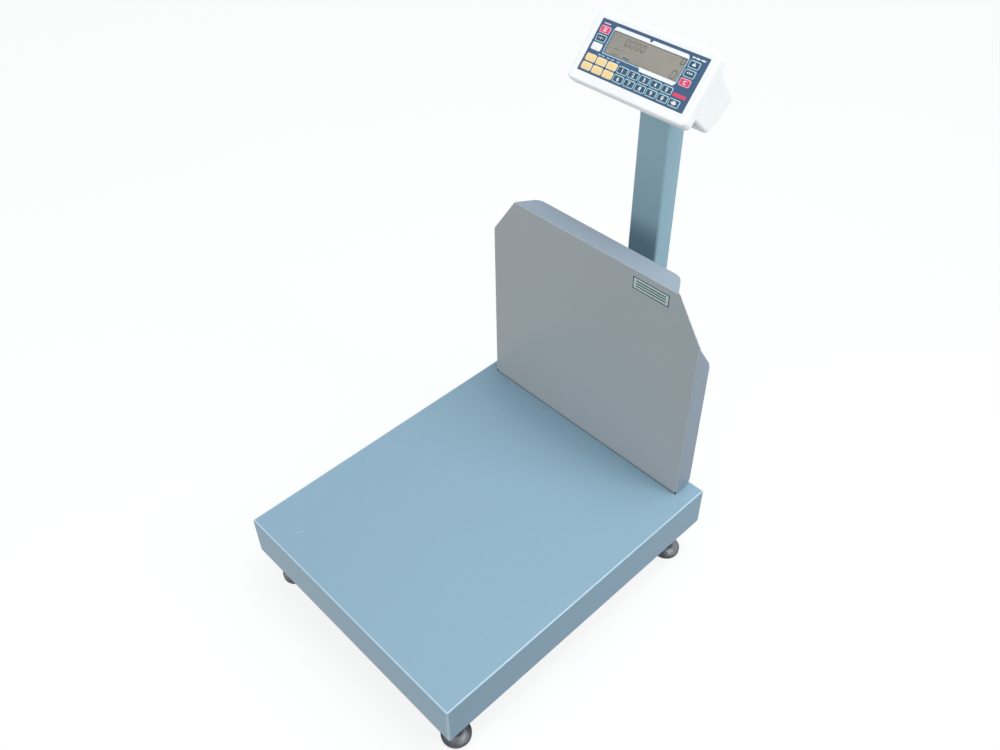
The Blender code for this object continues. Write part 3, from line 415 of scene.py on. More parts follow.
def effect_group(name):
    """The node group of an effect, made when it is first asked for."""
    if name in bpy.data.node_groups:
        return bpy.data.node_groups[name]
    build, extra = EFFECTS[name]
    group = bpy.data.node_groups.new(name, "ShaderNodeTree")
    for label, value in {"Colour": GREY, "Deep": GREY, "Roughness": 0.4, **extra}.items():
        kind = "NodeSocketColor" if isinstance(value, tuple) else "NodeSocketFloat"
        group.interface.new_socket(label, in_out="INPUT", socket_type=kind).default_value = value
    for label, kind in (("Colour", "Color"), ("Roughness", "Float"), ("Height", "Float")):
        group.interface.new_socket(label, in_out="OUTPUT", socket_type=f"NodeSocket{kind}")
    given = group.nodes.new("NodeGroupInput").outputs
    tint, spread, height = build(group, given, object_place(group))
    rough = maths(group, "ADD", given["Roughness"], spread)
    add_node(group, "NodeGroupOutput", {"Colour": tint, "Roughness": rough, "Height": height})
    return group


# Finishes


def new_material(name):
    """A new material, its node tree and its shader."""
    material = bpy.data.materials.new(name)
    material.use_nodes = True
    return material, material.node_tree, material.node_tree.nodes["Principled BSDF"]


def make_finish(name, effect, values, relief, **plain):
    """A material from one effect. Relief is the height of its bumps in metres, and plain holds
    the shader's own values, the same all over."""
    if name in bpy.data.materials:
        return bpy.data.materials[name]
    material, tree, shader = new_material(name)
    given = add_node(tree, "ShaderNodeGroup", node_tree=effect_group(effect))
    for key, value in values.items():
        given.inputs[key].default_value = opaque(value) if hasattr(value, "__len__") else value
    bump = add_node(tree, "ShaderNodeBump", {"Height": given.outputs["Height"], "Distance": relief})
    tree.links.new(given.outputs["Colour"], shader.inputs["Base Color"])
    tree.links.new(given.outputs["Roughness"], shader.inputs["Roughness"])
    tree.links.new(bump.outputs["Normal"], shader.inputs["Normal"])
    for key, value in plain.items():
        shader.inputs[key.replace("_", " ")].default_value = value
    return material


def darker(value, share=0.85):
    return tuple(part * share for part in value)


def painted(name, tint, deep, fleck, roughness, relief=0.00003, **plain):
    values = {"Colour": tint, "Deep": deep, "Fleck": fleck, "Roughness": roughness}
    return make_finish(name, "Powder Coat", values, relief, **plain)


def metal(name, tint, deep, roughness, effect="Worked Metal", relief=0.00002, metallic=1.0):
    values = {"Colour": tint, "Deep": deep, "Roughness": roughness}
    return make_finish(name, effect, values, relief, Metallic=metallic)


def moulded(name, tint, roughness, grain=1500.0, relief=0.00003, **plain):
    values = {"Colour": tint, "Deep": darker(tint, 0.94), "Roughness": roughness, "Grain": grain}
    return make_finish(name, "Moulded Grain", values, relief, **plain)


def platform_paint():
    look = settings("scale_finishes")
    tints = look.paint, look.paint_deep, look.fleck
    return painted("Platform Paint", *tints, 0.33, 0.00004, Specular_IOR_Level=0.12)


# The platform's paint made lighter and greener: painted light on the column
def column_paint_with_painted_light():
    look = settings("scale_finishes")
    tints = look.column, look.column_deep, look.column_fleck
    return painted("Column Paint With Painted Light", *tints, 0.33, 0.00004, Specular_IOR_Level=0.12)


def backrest_paint():
    look = settings("scale_finishes")
    tints = look.backrest, look.backrest_deep, look.backrest_fleck
    return painted("Backrest Paint", *tints, 0.34, Specular_IOR_Level=0.12)


# A paler copy of the backrest's paint for its front: painted light
def backrest_face_painted_light():
    tint = settings("scale_finishes").face
    tints = tint, darker(tint, 0.965), darker(tint, 1.12)
    return painted("Backrest Face Painted Light", *tints, 0.34, Specular_IOR_Level=0.15)


def scratch_and_highlight_paint(name, tint):
    """Pale paint: a painted highlight along a sheet's bends, and the bare primer of a scratch."""
    return painted(name, tint, darker(tint, 0.9), tint, 0.33, Specular_IOR_Level=0.5)


def frame_paint():
    look = settings("scale_finishes")
    return painted("Frame Paint", look.primer, darker(look.primer), look.fleck, 0.5, 0.00005)


def zinc_plate():
    tint = settings("scale_finishes").zinc
    return metal("Zinc Plate", tint, darker(tint, 0.7), 0.36)


def milled_aluminium():
    tint = settings("scale_finishes").aluminium
    return metal("Milled Aluminium", tint, darker(tint), 0.32)


def foot_metal():
    tint = settings("scale_finishes").pad
    return metal("Turned Foot", tint, darker(tint, 0.4), 0.38, "Turned Rings", 0.00003, 0.7)


def ink(name, tint):
    """Printed film: a very fine matt grain under a thin clear face."""
    return moulded(name, tint, 0.38, 2600.0, 0.000006, Coat_Weight=0.15, Coat_Roughness=0.25)


# Meshes


def to_mesh(bm):
    mesh = bpy.data.meshes.new("shape")
    bm.to_mesh(mesh)
    bm.free()
    return mesh


def evaluated(obj):
    """The object's mesh after its modifiers. The object is removed."""
    bpy.context.scene.collection.objects.link(obj)
    bpy.context.view_layer.update()
    depsgraph = bpy.context.evaluated_depsgraph_get()
    mesh = bpy.data.meshes.new_from_object(obj.evaluated_get(depsgraph))
    bpy.data.objects.remove(obj, do_unlink=True)
    return mesh


def merged(mesh):
    bm = bmesh.new()
    bm.from_mesh(mesh)
    bmesh.ops.remove_doubles(bm, verts=bm.verts, dist=WELD / 10)
    bmesh.ops.recalc_face_normals(bm, faces=bm.faces)
    return to_mesh(bm)


def rounded(width, height, radius, middle=(0.0, 0.0), segments=6):
    """The outline of a rectangle with round corners."""
    points = []
    for quarter, (x, y) in enumerate(((1, 1), (-1, 1), (-1, -1), (1, -1))):
        for step in range(segments + 1):
            angle = math.pi / 2 * (quarter + step / segments)
            points.append((
                middle[0] + x * (width / 2 - radius) + radius * math.cos(angle),
                middle[1] + y * (height / 2 - radius) + radius * math.sin(angle),
            ))
    return points


def disc(radius, middle=(0.0, 0.0), sides=20):
    turns = [2 * math.pi * side / sides for side in range(sides)]
    return [(middle[0] + radius * math.cos(a), middle[1] + radius * math.sin(a)) for a in turns]


def cut_sheet(outlines, low, high):
    """Flat shapes between two heights. An outline inside another one is a hole."""
    curve = bpy.data.curves.new("outline", "CURVE")
    curve.dimensions = "2D"
    curve.fill_mode = "BOTH"
    curve.extrude = (high - low) / 2
    for points in outlines:
        spline = curve.splines.new("POLY")
        spline.points.add(len(points) - 1)
        for point, (x, y) in zip(spline.points, points):
            point.co = (x, y, 0, 1)
        spline.use_cyclic_u = True
    mesh = evaluated(bpy.data.objects.new("outline", curve))
    mesh.transform(Matrix.Translation((0, 0, (low + high) / 2)))
    return merged(mesh)


def lettering(text, height, low, high, middle=(0.0, 0.0)):
    """Plain characters of a given height, centred on middle."""
    capital, boldness = 0.7, 0.04  # a capital's share of the type's size, and a stroke's growth
    curve = bpy.data.curves.new("lettering", "FONT")
    curve.body = text
    curve.size = height / capital
    curve.offset = height * boldness
    curve.extrude = (high - low) / 2
    curve.resolution_u = 4
    mesh = merged(evaluated(bpy.data.objects.new("lettering", curve)))
    xs = [vert.co.x for vert in mesh.vertices]
    ys = [vert.co.y for vert in mesh.vertices]
    shift = (
        middle[0] - (min(xs) + max(xs)) / 2, middle[1] - (min(ys) + max(ys)) / 2, (low + high) / 2
    )
    mesh.transform(Matrix.Translation(shift))
    return mesh


def loft(rings, bands=None, closed=False):
    """A surface through rings of points. It is capped at both ends, or closed on itself. Bands
    gives each band's material slot, and its last entry the upper cap's."""
    bm = bmesh.new()
    rows = [[bm.verts.new(point) for point in ring] for ring in rings]
    count = len(rows[0])
    bands = bands or [0] * len(rows)
    for row, (low, high) in enumerate(zip(rows, rows[1:] + rows[:closed])):
        for i in range(count):
            face = bm.faces.new((low[i], low[(i + 1) % count], high[(i + 1) % count], high[i]))
            face.material_index = bands[row]
    if not closed:
        bm.faces.new(reversed(rows[0])).material_index = bands[0]
        bm.faces.new(rows[-1]).material_index = bands[-1]
    bmesh.ops.recalc_face_normals(bm, faces=bm.faces)
    return to_mesh(bm)


def quarter_turn(steps):
    """Cosine and sine of angles from 0 to 90 degrees."""
    angles = [math.pi / 2 * step / steps for step in range(steps + 1)]
    return [(math.cos(angle), math.sin(angle)) for angle in angles]


def turned(profile, steps, bands=None):
    """A surface turned about Z from a closed profile of radii and heights."""
    bm = bmesh.new()
    columns = []
    for step in range(steps):
        angle = 2 * math.pi * step / steps
        x, y = math.cos(angle), math.sin(angle)
        columns.append([bm.verts.new((r * x, r * y, z)) for r, z in profile])
    for step in range(steps):
        here, there = columns[step], columns[(step + 1) % steps]
        for i in range(len(profile) - 1):
            face = bm.faces.new((here[i], there[i], there[i + 1], here[i + 1]))
            face.material_index = bands[i] if bands else 0
    bmesh.ops.remove_doubles(bm, verts=bm.verts, dist=WELD / 10)
    bmesh.ops.dissolve_degenerate(bm, edges=bm.edges, dist=WELD / 10)
    bmesh.ops.recalc_face_normals(bm, faces=bm.faces)
    return to_mesh(bm)


def threaded_rod(radius, depth, pitch, low, high, sides=24):
    """A rod with a right-handed thread, its ends plain."""
    rows = []
    per_turn = 4
    tooth = (0.0, depth / 2, depth, depth / 2)
    count = int((high - low) / pitch * per_turn)
    for row in range(count + 1):
        z = low + (high - low) * row / count
        plain = row < 2 or row > count - 2
        ring = []
        for side in range(sides):
            phase = row / per_turn - side / sides
            cut = phase % 1 * per_turn
            whole, part = int(cut), cut % 1
            drop = tooth[whole % per_turn] * (1 - part) + tooth[(whole + 1) % per_turn] * part
            reach = radius - (depth if plain else drop)
            angle = 2 * math.pi * side / sides
            ring.append((reach * math.cos(angle), reach * math.sin(angle), z))
        rows.append(ring)
    return loft(rows)


def hexagon(corner, low, high, edge):
    """A hexagon bar with its ends' edges broken."""
    rings = []
    for z, inset in ((low, edge), (low + edge / 2, 0), (high - edge / 2, 0), (high, edge)):
        rings.append([(x, y, z) for x, y in disc(corner - inset, sides=6)])
    return loft(rings)


def joined(meshes):
    """Several meshes as one, each a closed body of its own."""
    bm = bmesh.new()
    for mesh in meshes:
        bm.from_mesh(mesh)
        bpy.data.meshes.remove(mesh)
    return to_mesh(bm)


# Pieces


def put(name, mesh, finishes, body, space=None, stands_for=(), sharp=35, edge=0.0):
    """Adds a piece, smooth up to the sharp angle in degrees, and joins it to its body, if it has
    one. With edge given, its sharp edges are rounded by that much."""
    for finish in finishes:
        mesh.materials.append(finish)
    mesh.shade_smooth()
    mesh.set_sharp_from_angle(angle=math.radians(sharp))
    piece = bpy.data.objects.new(name, mesh)
    bpy.context.scene.collection.objects.link(piece)
    if space is not None:
        piece.matrix_world = space
    if edge:
        bevel = piece.modifiers.new("edges", "BEVEL")
        bevel.width = edge
        bevel.segments = 2
        bevel.limit_method = "ANGLE"
        bevel.angle_limit = math.radians(sharp)
        bevel.harden_normals = False
    normals = piece.modifiers.new("normals", "WEIGHTED_NORMAL")
    normals.keep_sharp = not edge
    normals.weight = FLAT_NORMALS
    if body:
        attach(piece, body)
    if stands_for:
        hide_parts(*stands_for)
    return piece


def printed(name, outlines, low, high, finish, slot, body="base", space=None):
    """A thin flat piece, on the keypad's film unless it has a space of its own."""
    put(name, cut_sheet(outlines, low, high), [finish], body, space or HEAD, sharp=30)


def upright(place):
    """The space of a sheet that stands upright and faces the front."""
    return Matrix.Translation(place) @ Matrix.Rotation(math.pi / 2, 4, "X")


def body_of(node):
    for body, nodes in frame["record"]["behaviour"]["bodies"].items():
        if node in nodes:
            return body
    raise RuntimeError(f"no body holds {node}")


def welded(node, cuts=()):
    """A CAD node's mesh, welded from its triangles, and cut across at these places along Y."""
    bm = bmesh.new()
    bm.from_mesh(frame["nodes"][node].data)
    bmesh.ops.remove_doubles(bm, verts=bm.verts, dist=WELD)
    flat = math.radians(0.5)
    bmesh.ops.dissolve_limit(bm, angle_limit=flat, verts=bm.verts, edges=bm.edges)
    for place in cuts:
        everything = bm.verts[:] + bm.edges[:] + bm.faces[:]
        bmesh.ops.bisect_plane(bm, geom=everything, plane_co=(0, place, 0), plane_no=(0, 1, 0))
    bmesh.ops.recalc_face_normals(bm, faces=bm.faces)
    mesh = to_mesh(bm)
    mesh.materials.clear()
    mesh.polygons.foreach_set("material_index", [0] * len(mesh.polygons))
    return mesh


def refined(node, finish, suffix, edge=0.0, sharp=35):
    """A smooth copy of a CAD node."""
    return put(
        f"{node}_{suffix}", welded(node), [finish], body_of(node), None, [node],
        sharp, edge,
    )


def head_space():
    """The indicator's own space: X across, Y up the keypad, Z out of it, with its origin at the
    middle of the film's face. The keys' travel gives its tilt."""
    press = next(joint for joint in frame["joints"] if joint["name"] == "key_1_press")
    out = -Vector(press["axis"]).normalized()
    across = Vector((1, 0, 0))
    turn = Matrix((across, out.cross(across), out)).transposed().to_4x4()
    low, high = box_in(turn, "keypad_overlay")
    return Matrix.Translation(turn @ Vector((*middle_of(low, high), high.z))) @ turn


def middle_of(low, high):
    """The middle of a box, seen along Z."""
    return (low.x + high.x) / 2, (low.y + high.y) / 2


def box_in(space, node):
    """Lowest and highest corner of a CAD node in another space."""
    inverse = space.inverted()
    points = [inverse @ vert.co for vert in frame["nodes"][node].data.vertices]
    low = Vector([min(point[axis] for point in points) for axis in range(3)])
    high = Vector([max(point[axis] for point in points) for axis in range(3)])
    return low, high


HEAD = head_space()
FILM_LOW, FILM_HIGH = box_in(HEAD, "keypad_overlay")


def on_film(x, y):
    """A place on the film, from millimetres right of and below its upper left corner."""
    return FILM_LOW.x + x * MM, FILM_HIGH.y - y * MM


def film_shape(*points):
    """An outline on the film, from millimetres. Points run clockwise as seen from the front."""
    return [on_film(x, y) for x, y in points]


def film_bar(x, y, width, height, radius=0.3):
    """A rounded bar on the film, from millimetres, about its middle."""
    return rounded(width * MM, height * MM, radius * MM, on_film(x, y), 3)


def key_bar(width, height, radius, x, y):
    """A rounded bar on a key, from millimetres about the key's middle."""
    return rounded(width * MM, height * MM, radius * MM, (x * MM, y * MM), 2)


class SCALE_OT_platform(bpy.types.Operator):
    """Paints the pan, the backrest and the column, and adds the welds and the blank label"""

    bl_idname = "scale.platform"
    bl_label = "Platform and Column"

    def execute(self, context):
        look = settings("scale_finishes")
        pan = refined("platform_cover", platform_paint(), "sheet", sharp=50)
        # Pale bends on the pan and the backrest: painted highlights
        self.paint_bend_highlights(pan, Vector((0, 0, 1)), scratch_and_highlight_paint("Platform Bend Highlight", look.fold_highlight))
        backrest = refined("backrest_panel", backrest_paint(), "sheet", sharp=50)
        self.trim_flanges(backrest)
        front = Vector((0, -1, 0))
        self.paint_bend_highlights(backrest, front, scratch_and_highlight_paint("Backrest Bend Highlight", look.backrest_fold_highlight))
        self.paint_light_on_face(backrest, front)
        refined("column", column_paint_with_painted_light(), "tube", sharp=50)
        self.add_scratch()
        self.add_painted_shade_line()
        self.add_weld()
        self.add_label()
        return {"FINISHED"}

    def paint_bend_highlights(self, piece, face, finish):
        """Gives a pale finish, a painted highlight, to the bends between a sheet's face and its
        flanges, and to the upright corners between two flanges."""
        bend, corner = 0.6, 0.94
        piece.data.materials.append(finish)
        for polygon in piece.data.polygons:
            facing = polygon.normal.dot(face)
            beside = max(abs(part) for part in polygon.normal - facing * face)
            if bend < facing < ON_FACE or (abs(facing) < 0.1 and beside < corner):
                polygon.material_index = 1

    def paint_light_on_face(self, piece, face):
        """Gives the sheet's front a paler copy of its paint: painted light on the side that faces the front."""
        piece.data.materials.append(backrest_face_painted_light())
        for polygon in piece.data.polygons:
            if polygon.normal.dot(face) >= ON_FACE:
                polygon.material_index = 2

    def trim_flanges(self, piece):
        """Cuts the backrest's flanges to the depth that they show. Their upper ends keep the
        slope of the cut corners, so the free corners there move outwards along it."""
        sizes = settings("scale_folds")
        low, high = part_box("backrest_panel")
        middle = (low.x + high.x) / 2
        slope = sizes.corner_height / sizes.corner_width
        for vertex in piece.data.vertices:
            place = vertex.co
            if place.y < high.y - sizes.free_edge:
                continue
            place.y -= sizes.trim
            if place.z > high.z - 2 * sizes.sheet:
                place.x += math.copysign(sizes.trim / slope, place.x - middle)
            elif place.z > (low.z + high.z) / 2:
                place.z += sizes.trim * slope

    def add_scratch(self):
        """A fine pale scratch near the pan's front left corner."""
        sizes, look = settings("scale_folds"), settings("scale_finishes")
        low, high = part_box("platform_cover")
        start = Vector((low.x + sizes.scratch_left, low.y + sizes.scratch_front))
        along = Vector((0.38, 0.925)).normalized()  # it runs up and to the right on the pan
        side = Vector((along.y, -along.x)) * sizes.scratch / 2
        end = start + along * sizes.scratch_run
        middle = (start + end) / 2 + side * 1.5
        outline = [start, middle + side, end, middle - side]
        pale = scratch_and_highlight_paint("Scratched Paint", look.scratch)
        printed(
            "pan_scratch", [outline], high.z - HAIR, high.z + HAIR, pale, "platform_paint",
            "platform", Matrix.Identity(4),
        )

    def add_painted_shade_line(self):
        """Painted shade: a dark line where the backrest meets the pan, and dark spots for the bend reliefs at its
        ends.
        """
        look, sizes = settings("scale_finishes"), settings("scale_folds")
        low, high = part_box("backrest_panel")
        width, relief, seam = high.x - low.x, sizes.relief, sizes.seam
        shapes = [rounded(width - 4 * relief, seam, seam / 4, (0, seam / 2), 2)]
        for side in (-1, 1):
            place = (side * (width / 2 - 0.8 * relief), 0.9 * relief)
            shapes.append(rounded(relief, 1.8 * relief, relief / 3, place, 4))
        dark = moulded("Seam Shade", look.seam, 0.8)
        space = upright(((low.x + high.x) / 2, low.y, low.z))
        printed("backrest_painted_shade", shapes, 0, INK, dark, "backrest_paint", "platform", space)

    def add_weld(self):
        """The rippled weld between the column and its foot plate."""
        sizes = settings("scale_hardware")
        openings = frame["record"]["physics"]["openings"]
        bore = next(box for box in openings if box["name"] == "column_bore")
        middle = middle_of(*(Vector(corner) for corner in bore["box_m"]))
        plate_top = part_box("column")[0].z + sizes.foot_plate
        radius = sizes.bead
        width, depth = sizes.column_width + radius / 2, sizes.column_depth + radius / 2
        per_ripple, ripple, flatness = 4, 0.14, 0.8
        path = rounded(width, depth, 1.6 * radius, middle)
        points = evenly(path, sizes.ripples * per_ripple)
        rings = []
        for i, point in enumerate(points):
            ahead = points[(i + 1) % len(points)] - points[i - 1]
            out = Vector((ahead.y, -ahead.x)).normalized()
            swell = radius * (1 - ripple + ripple * abs(math.sin(math.pi * i / per_ripple)))
            rings.append([
                (*(point + out * x), plate_top + flatness * y) for x, y in disc(swell, sides=8)
            ])
        weld = loft(rings, closed=True)
        put("column_weld", weld, [platform_paint()], "base", sharp=80)

    def add_label(self):
        """A blank label on the backrest's upper right: a pale plate, a dark frame, ruled lines."""
        look, sizes = settings("scale_finishes"), settings("scale_label")
        low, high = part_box("backrest_panel")
        space = upright((low.x + sizes.from_left, low.y, high.z - sizes.from_top))
        where = ("backrest_paint", "platform", space)
        pale = moulded("Label Plate", look.label, 0.38)
        plate = rounded(sizes.width, sizes.height, sizes.corner)
        printed("backrest_label", [plate], 0, sizes.sheet, pale, *where)
        wide, tall = sizes.width - 2 * sizes.margin, sizes.height - 2 * sizes.margin
        inner_wide, inner_tall = wide - 2 * sizes.frame, tall - 2 * sizes.frame
        ruled = inner_wide * 0.86
        outlines = [
            rounded(wide, tall, sizes.corner / 2),
            rounded(inner_wide, inner_tall, sizes.corner / 3),
        ]
        for row in range(sizes.rows):
            y = inner_tall * (0.5 - (row + 1) / (sizes.rows + 1))
            outlines.append(rounded(ruled, sizes.rule, sizes.rule / 3, (0, y), 2))
        dark = moulded("Label Print", look.label_print, 0.42)
        low, high = sizes.sheet - HAIR, sizes.sheet + INK
        printed("backrest_label_print", outlines, low, high, dark, *where)


def evenly(points, count):
    """Points at even distances along a closed outline."""
    ring = [Vector(point) for point in points]
    ring.append(ring[0])
    lengths = [0.0]
    for a, b in zip(ring, ring[1:]):
        lengths.append(lengths[-1] + (b - a).length)
    spaced = []
    part = 0
    for step in range(count):
        want = lengths[-1] * step / count
        while lengths[part + 1] < want:
            part += 1
        share = (want - lengths[part]) / (lengths[part + 1] - lengths[part])
        spaced.append(ring[part].lerp(ring[part + 1], share))
    return spaced


class SCALE_OT_underside(bpy.types.Operator):
    """Finishes the frames, the load cell, its spacers and the overload stops"""

    bl_idname = "scale.underside"
    bl_label = "Frames and Load Cell"

    def execute(self, context):
        for node in ("base_frame", "top_frame"):
            refined(node, frame_paint(), "tubes", edge=0.0012)
        for node in ("lower_spacer", "upper_spacer", "head_bracket"):
            refined(node, zinc_plate(), "steel", edge=0.0004)
        self.add_load_cell()
        for number in CORNERS:
            refined(f"overload_stop_{number}", zinc_plate(), "bolt", edge=0.0004)
            refined(f"lock_nut_{number}", zinc_plate(), "hexagon", edge=0.0005)
        for kind in ("backrest_bolt", "column_bolt"):
            for number in (1, 2):
                refined(f"{kind}_{number}", zinc_plate(), "steel", edge=0.0004)
        return {"FINISHED"}

    def add_load_cell(self):
        """The bar bends between its spacers, so it is cut across there to have points that move."""
        steps = 6
        front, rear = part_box("lower_spacer")[1].y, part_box("upper_spacer")[0].y
        cuts = [front + (rear - front) * step / steps for step in range(steps + 1)]
        bar = put(
            "load_cell_bar", welded("load_cell", cuts), [milled_aluminium()], None, None,
            ["load_cell"], edge=0.0005,
        )
        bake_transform(bar)


class SCALE_OT_feet(bpy.types.Operator):
    """Turns the feet's discs with their rubber soles, and cuts the thread on their studs"""

    bl_idname = "scale.feet"
    bl_label = "Feet"

    def execute(self, context):
        look = settings("scale_finishes")
        sole = moulded("Foot Sole", look.sole, 0.7)
        for number in CORNERS:
            node = f"foot_pad_{number}"
            low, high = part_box(f"foot_pad_{number}")
            space = Matrix.Translation((*middle_of(low, high), 0))
            profile, bands = self.pad_profile((high.x - low.x) / 2, high.z)
            put(
                f"foot_disc_{number}", turned(profile, 72, bands), [foot_metal(), sole],
                body_of(node), space, [node], sharp=40,
            )
            self.add_stud(number, space, high.z)
        return {"FINISHED"}

    def pad_profile(self, radius, height):
        """The disc's section from its pocket to the middle of its sole, and each band's slot."""
        sole = settings("scale_hardware").sole
        pocket, boss = 0.0063, 0.0105
        rim = 0.007
        neck, floor = height - 0.007, rim + 0.003
        groove, edge, bevel = 0.0004, 0.0005, 0.0015
        points = [(0, floor), (pocket, floor), (pocket, height - edge), (pocket + edge, height)]
        points += [(boss - bevel, height), (boss - groove, height - groove), (boss, height - bevel)]
        for x, y in quarter_turn(12):
            points.append((boss + (radius - boss) * (1 - x), neck - (neck - rim) * y))
        metal_points = len(points)
        rubber = radius - groove / 2
        points += [(radius, sole + 0.0003), (radius - groove, sole), (rubber, sole - groove)]
        points += [(rubber, 0.0008), (radius - 0.001, 0), (0, 0)]
        bands = [0] * (metal_points + 1) + [1] * (len(points) - metal_points - 2)
        return points, bands

    def add_stud(self, number, space, pad_top):
        """A stud: its plain end in the pad, its hexagon just above the pad, and its thread."""
        sizes = settings("scale_hardware")
        node = f"foot_stud_{number}"
        low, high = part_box(node)
        gap, edge = 0.0003, 0.0006
        bottom = pad_top + gap
        top = bottom + sizes.collar
        parts = [
            threaded_rod(sizes.stud, sizes.thread, sizes.pitch, top, high.z),
            hexagon(sizes.collar_corner, bottom, top, edge),
            loft([[(x, y, z) for x, y in disc(sizes.stud, sides=24)] for z in (low.z, bottom)]),
        ]
        put(
            f"stud_{number}", joined(parts), [zinc_plate()], body_of(node), space, [node],
            sharp=40,
        )


class SCALE_OT_housing(bpy.types.Operator):
    """Finishes the indicator's two shells, its screws, its gland and what it holds"""

    bl_idname = "scale.housing"
    bl_label = "Indicator Housing"

    def execute(self, context):
        look = settings("scale_finishes")
        shell = moulded("Housing Plastic", look.housing, 0.42, 1300.0, 0.00004)
        refined("front_shell", shell, "moulding", sharp=42)
        refined("rear_shell", shell, "moulding", sharp=42)
        black = moulded("Black Nylon", look.nylon, 0.5)
        refined("cable_gland", black, "nylon")
        refined("lcd_module", black, "frame", edge=0.0005)
        refined("main_board", moulded("Board Green", look.board, 0.4), "sheet")
        refined("battery", moulded("Battery Sleeve", look.battery, 0.45), "sleeve")
        self.add_screws()
        return {"FINISHED"}

    def add_screws(self):
        """Pan-head screws that hold the rear shell's flange to the front shell."""
        sizes = settings("scale_hardware")
        low, high = box_in(HEAD, "front_shell")
        joint, flange = 0.0003, 0.0025
        radius, height, rim = sizes.screw, 0.0019, 0.0006
        flat, innermost = 0.4, 0.0004  # the top's flat share of the radius, and its inner ring
        profile = [(0, height), (innermost, height)]
        for x, y in quarter_turn(6):
            profile.append((radius * (flat + (1 - flat) * y), rim + (height - rim) * x))
        profile += [(radius, 0), (0, 0)]
        heads = []
        for side in (-1, 0, 1):
            for y in (high.y - sizes.screw_top, low.y + sizes.screw_bottom):
                head = turned(profile, 24)
                head.transform(Matrix.Rotation(math.pi, 4, "X"))
                place = ((low.x + high.x) / 2 + side * sizes.screw_side, y, low.z - joint - flange)
                head.transform(Matrix.Translation(place))
                heads.append(head)
        screws = joined(heads)
        put("housing_screws", screws, [zinc_plate()], "base", HEAD, sharp=40)


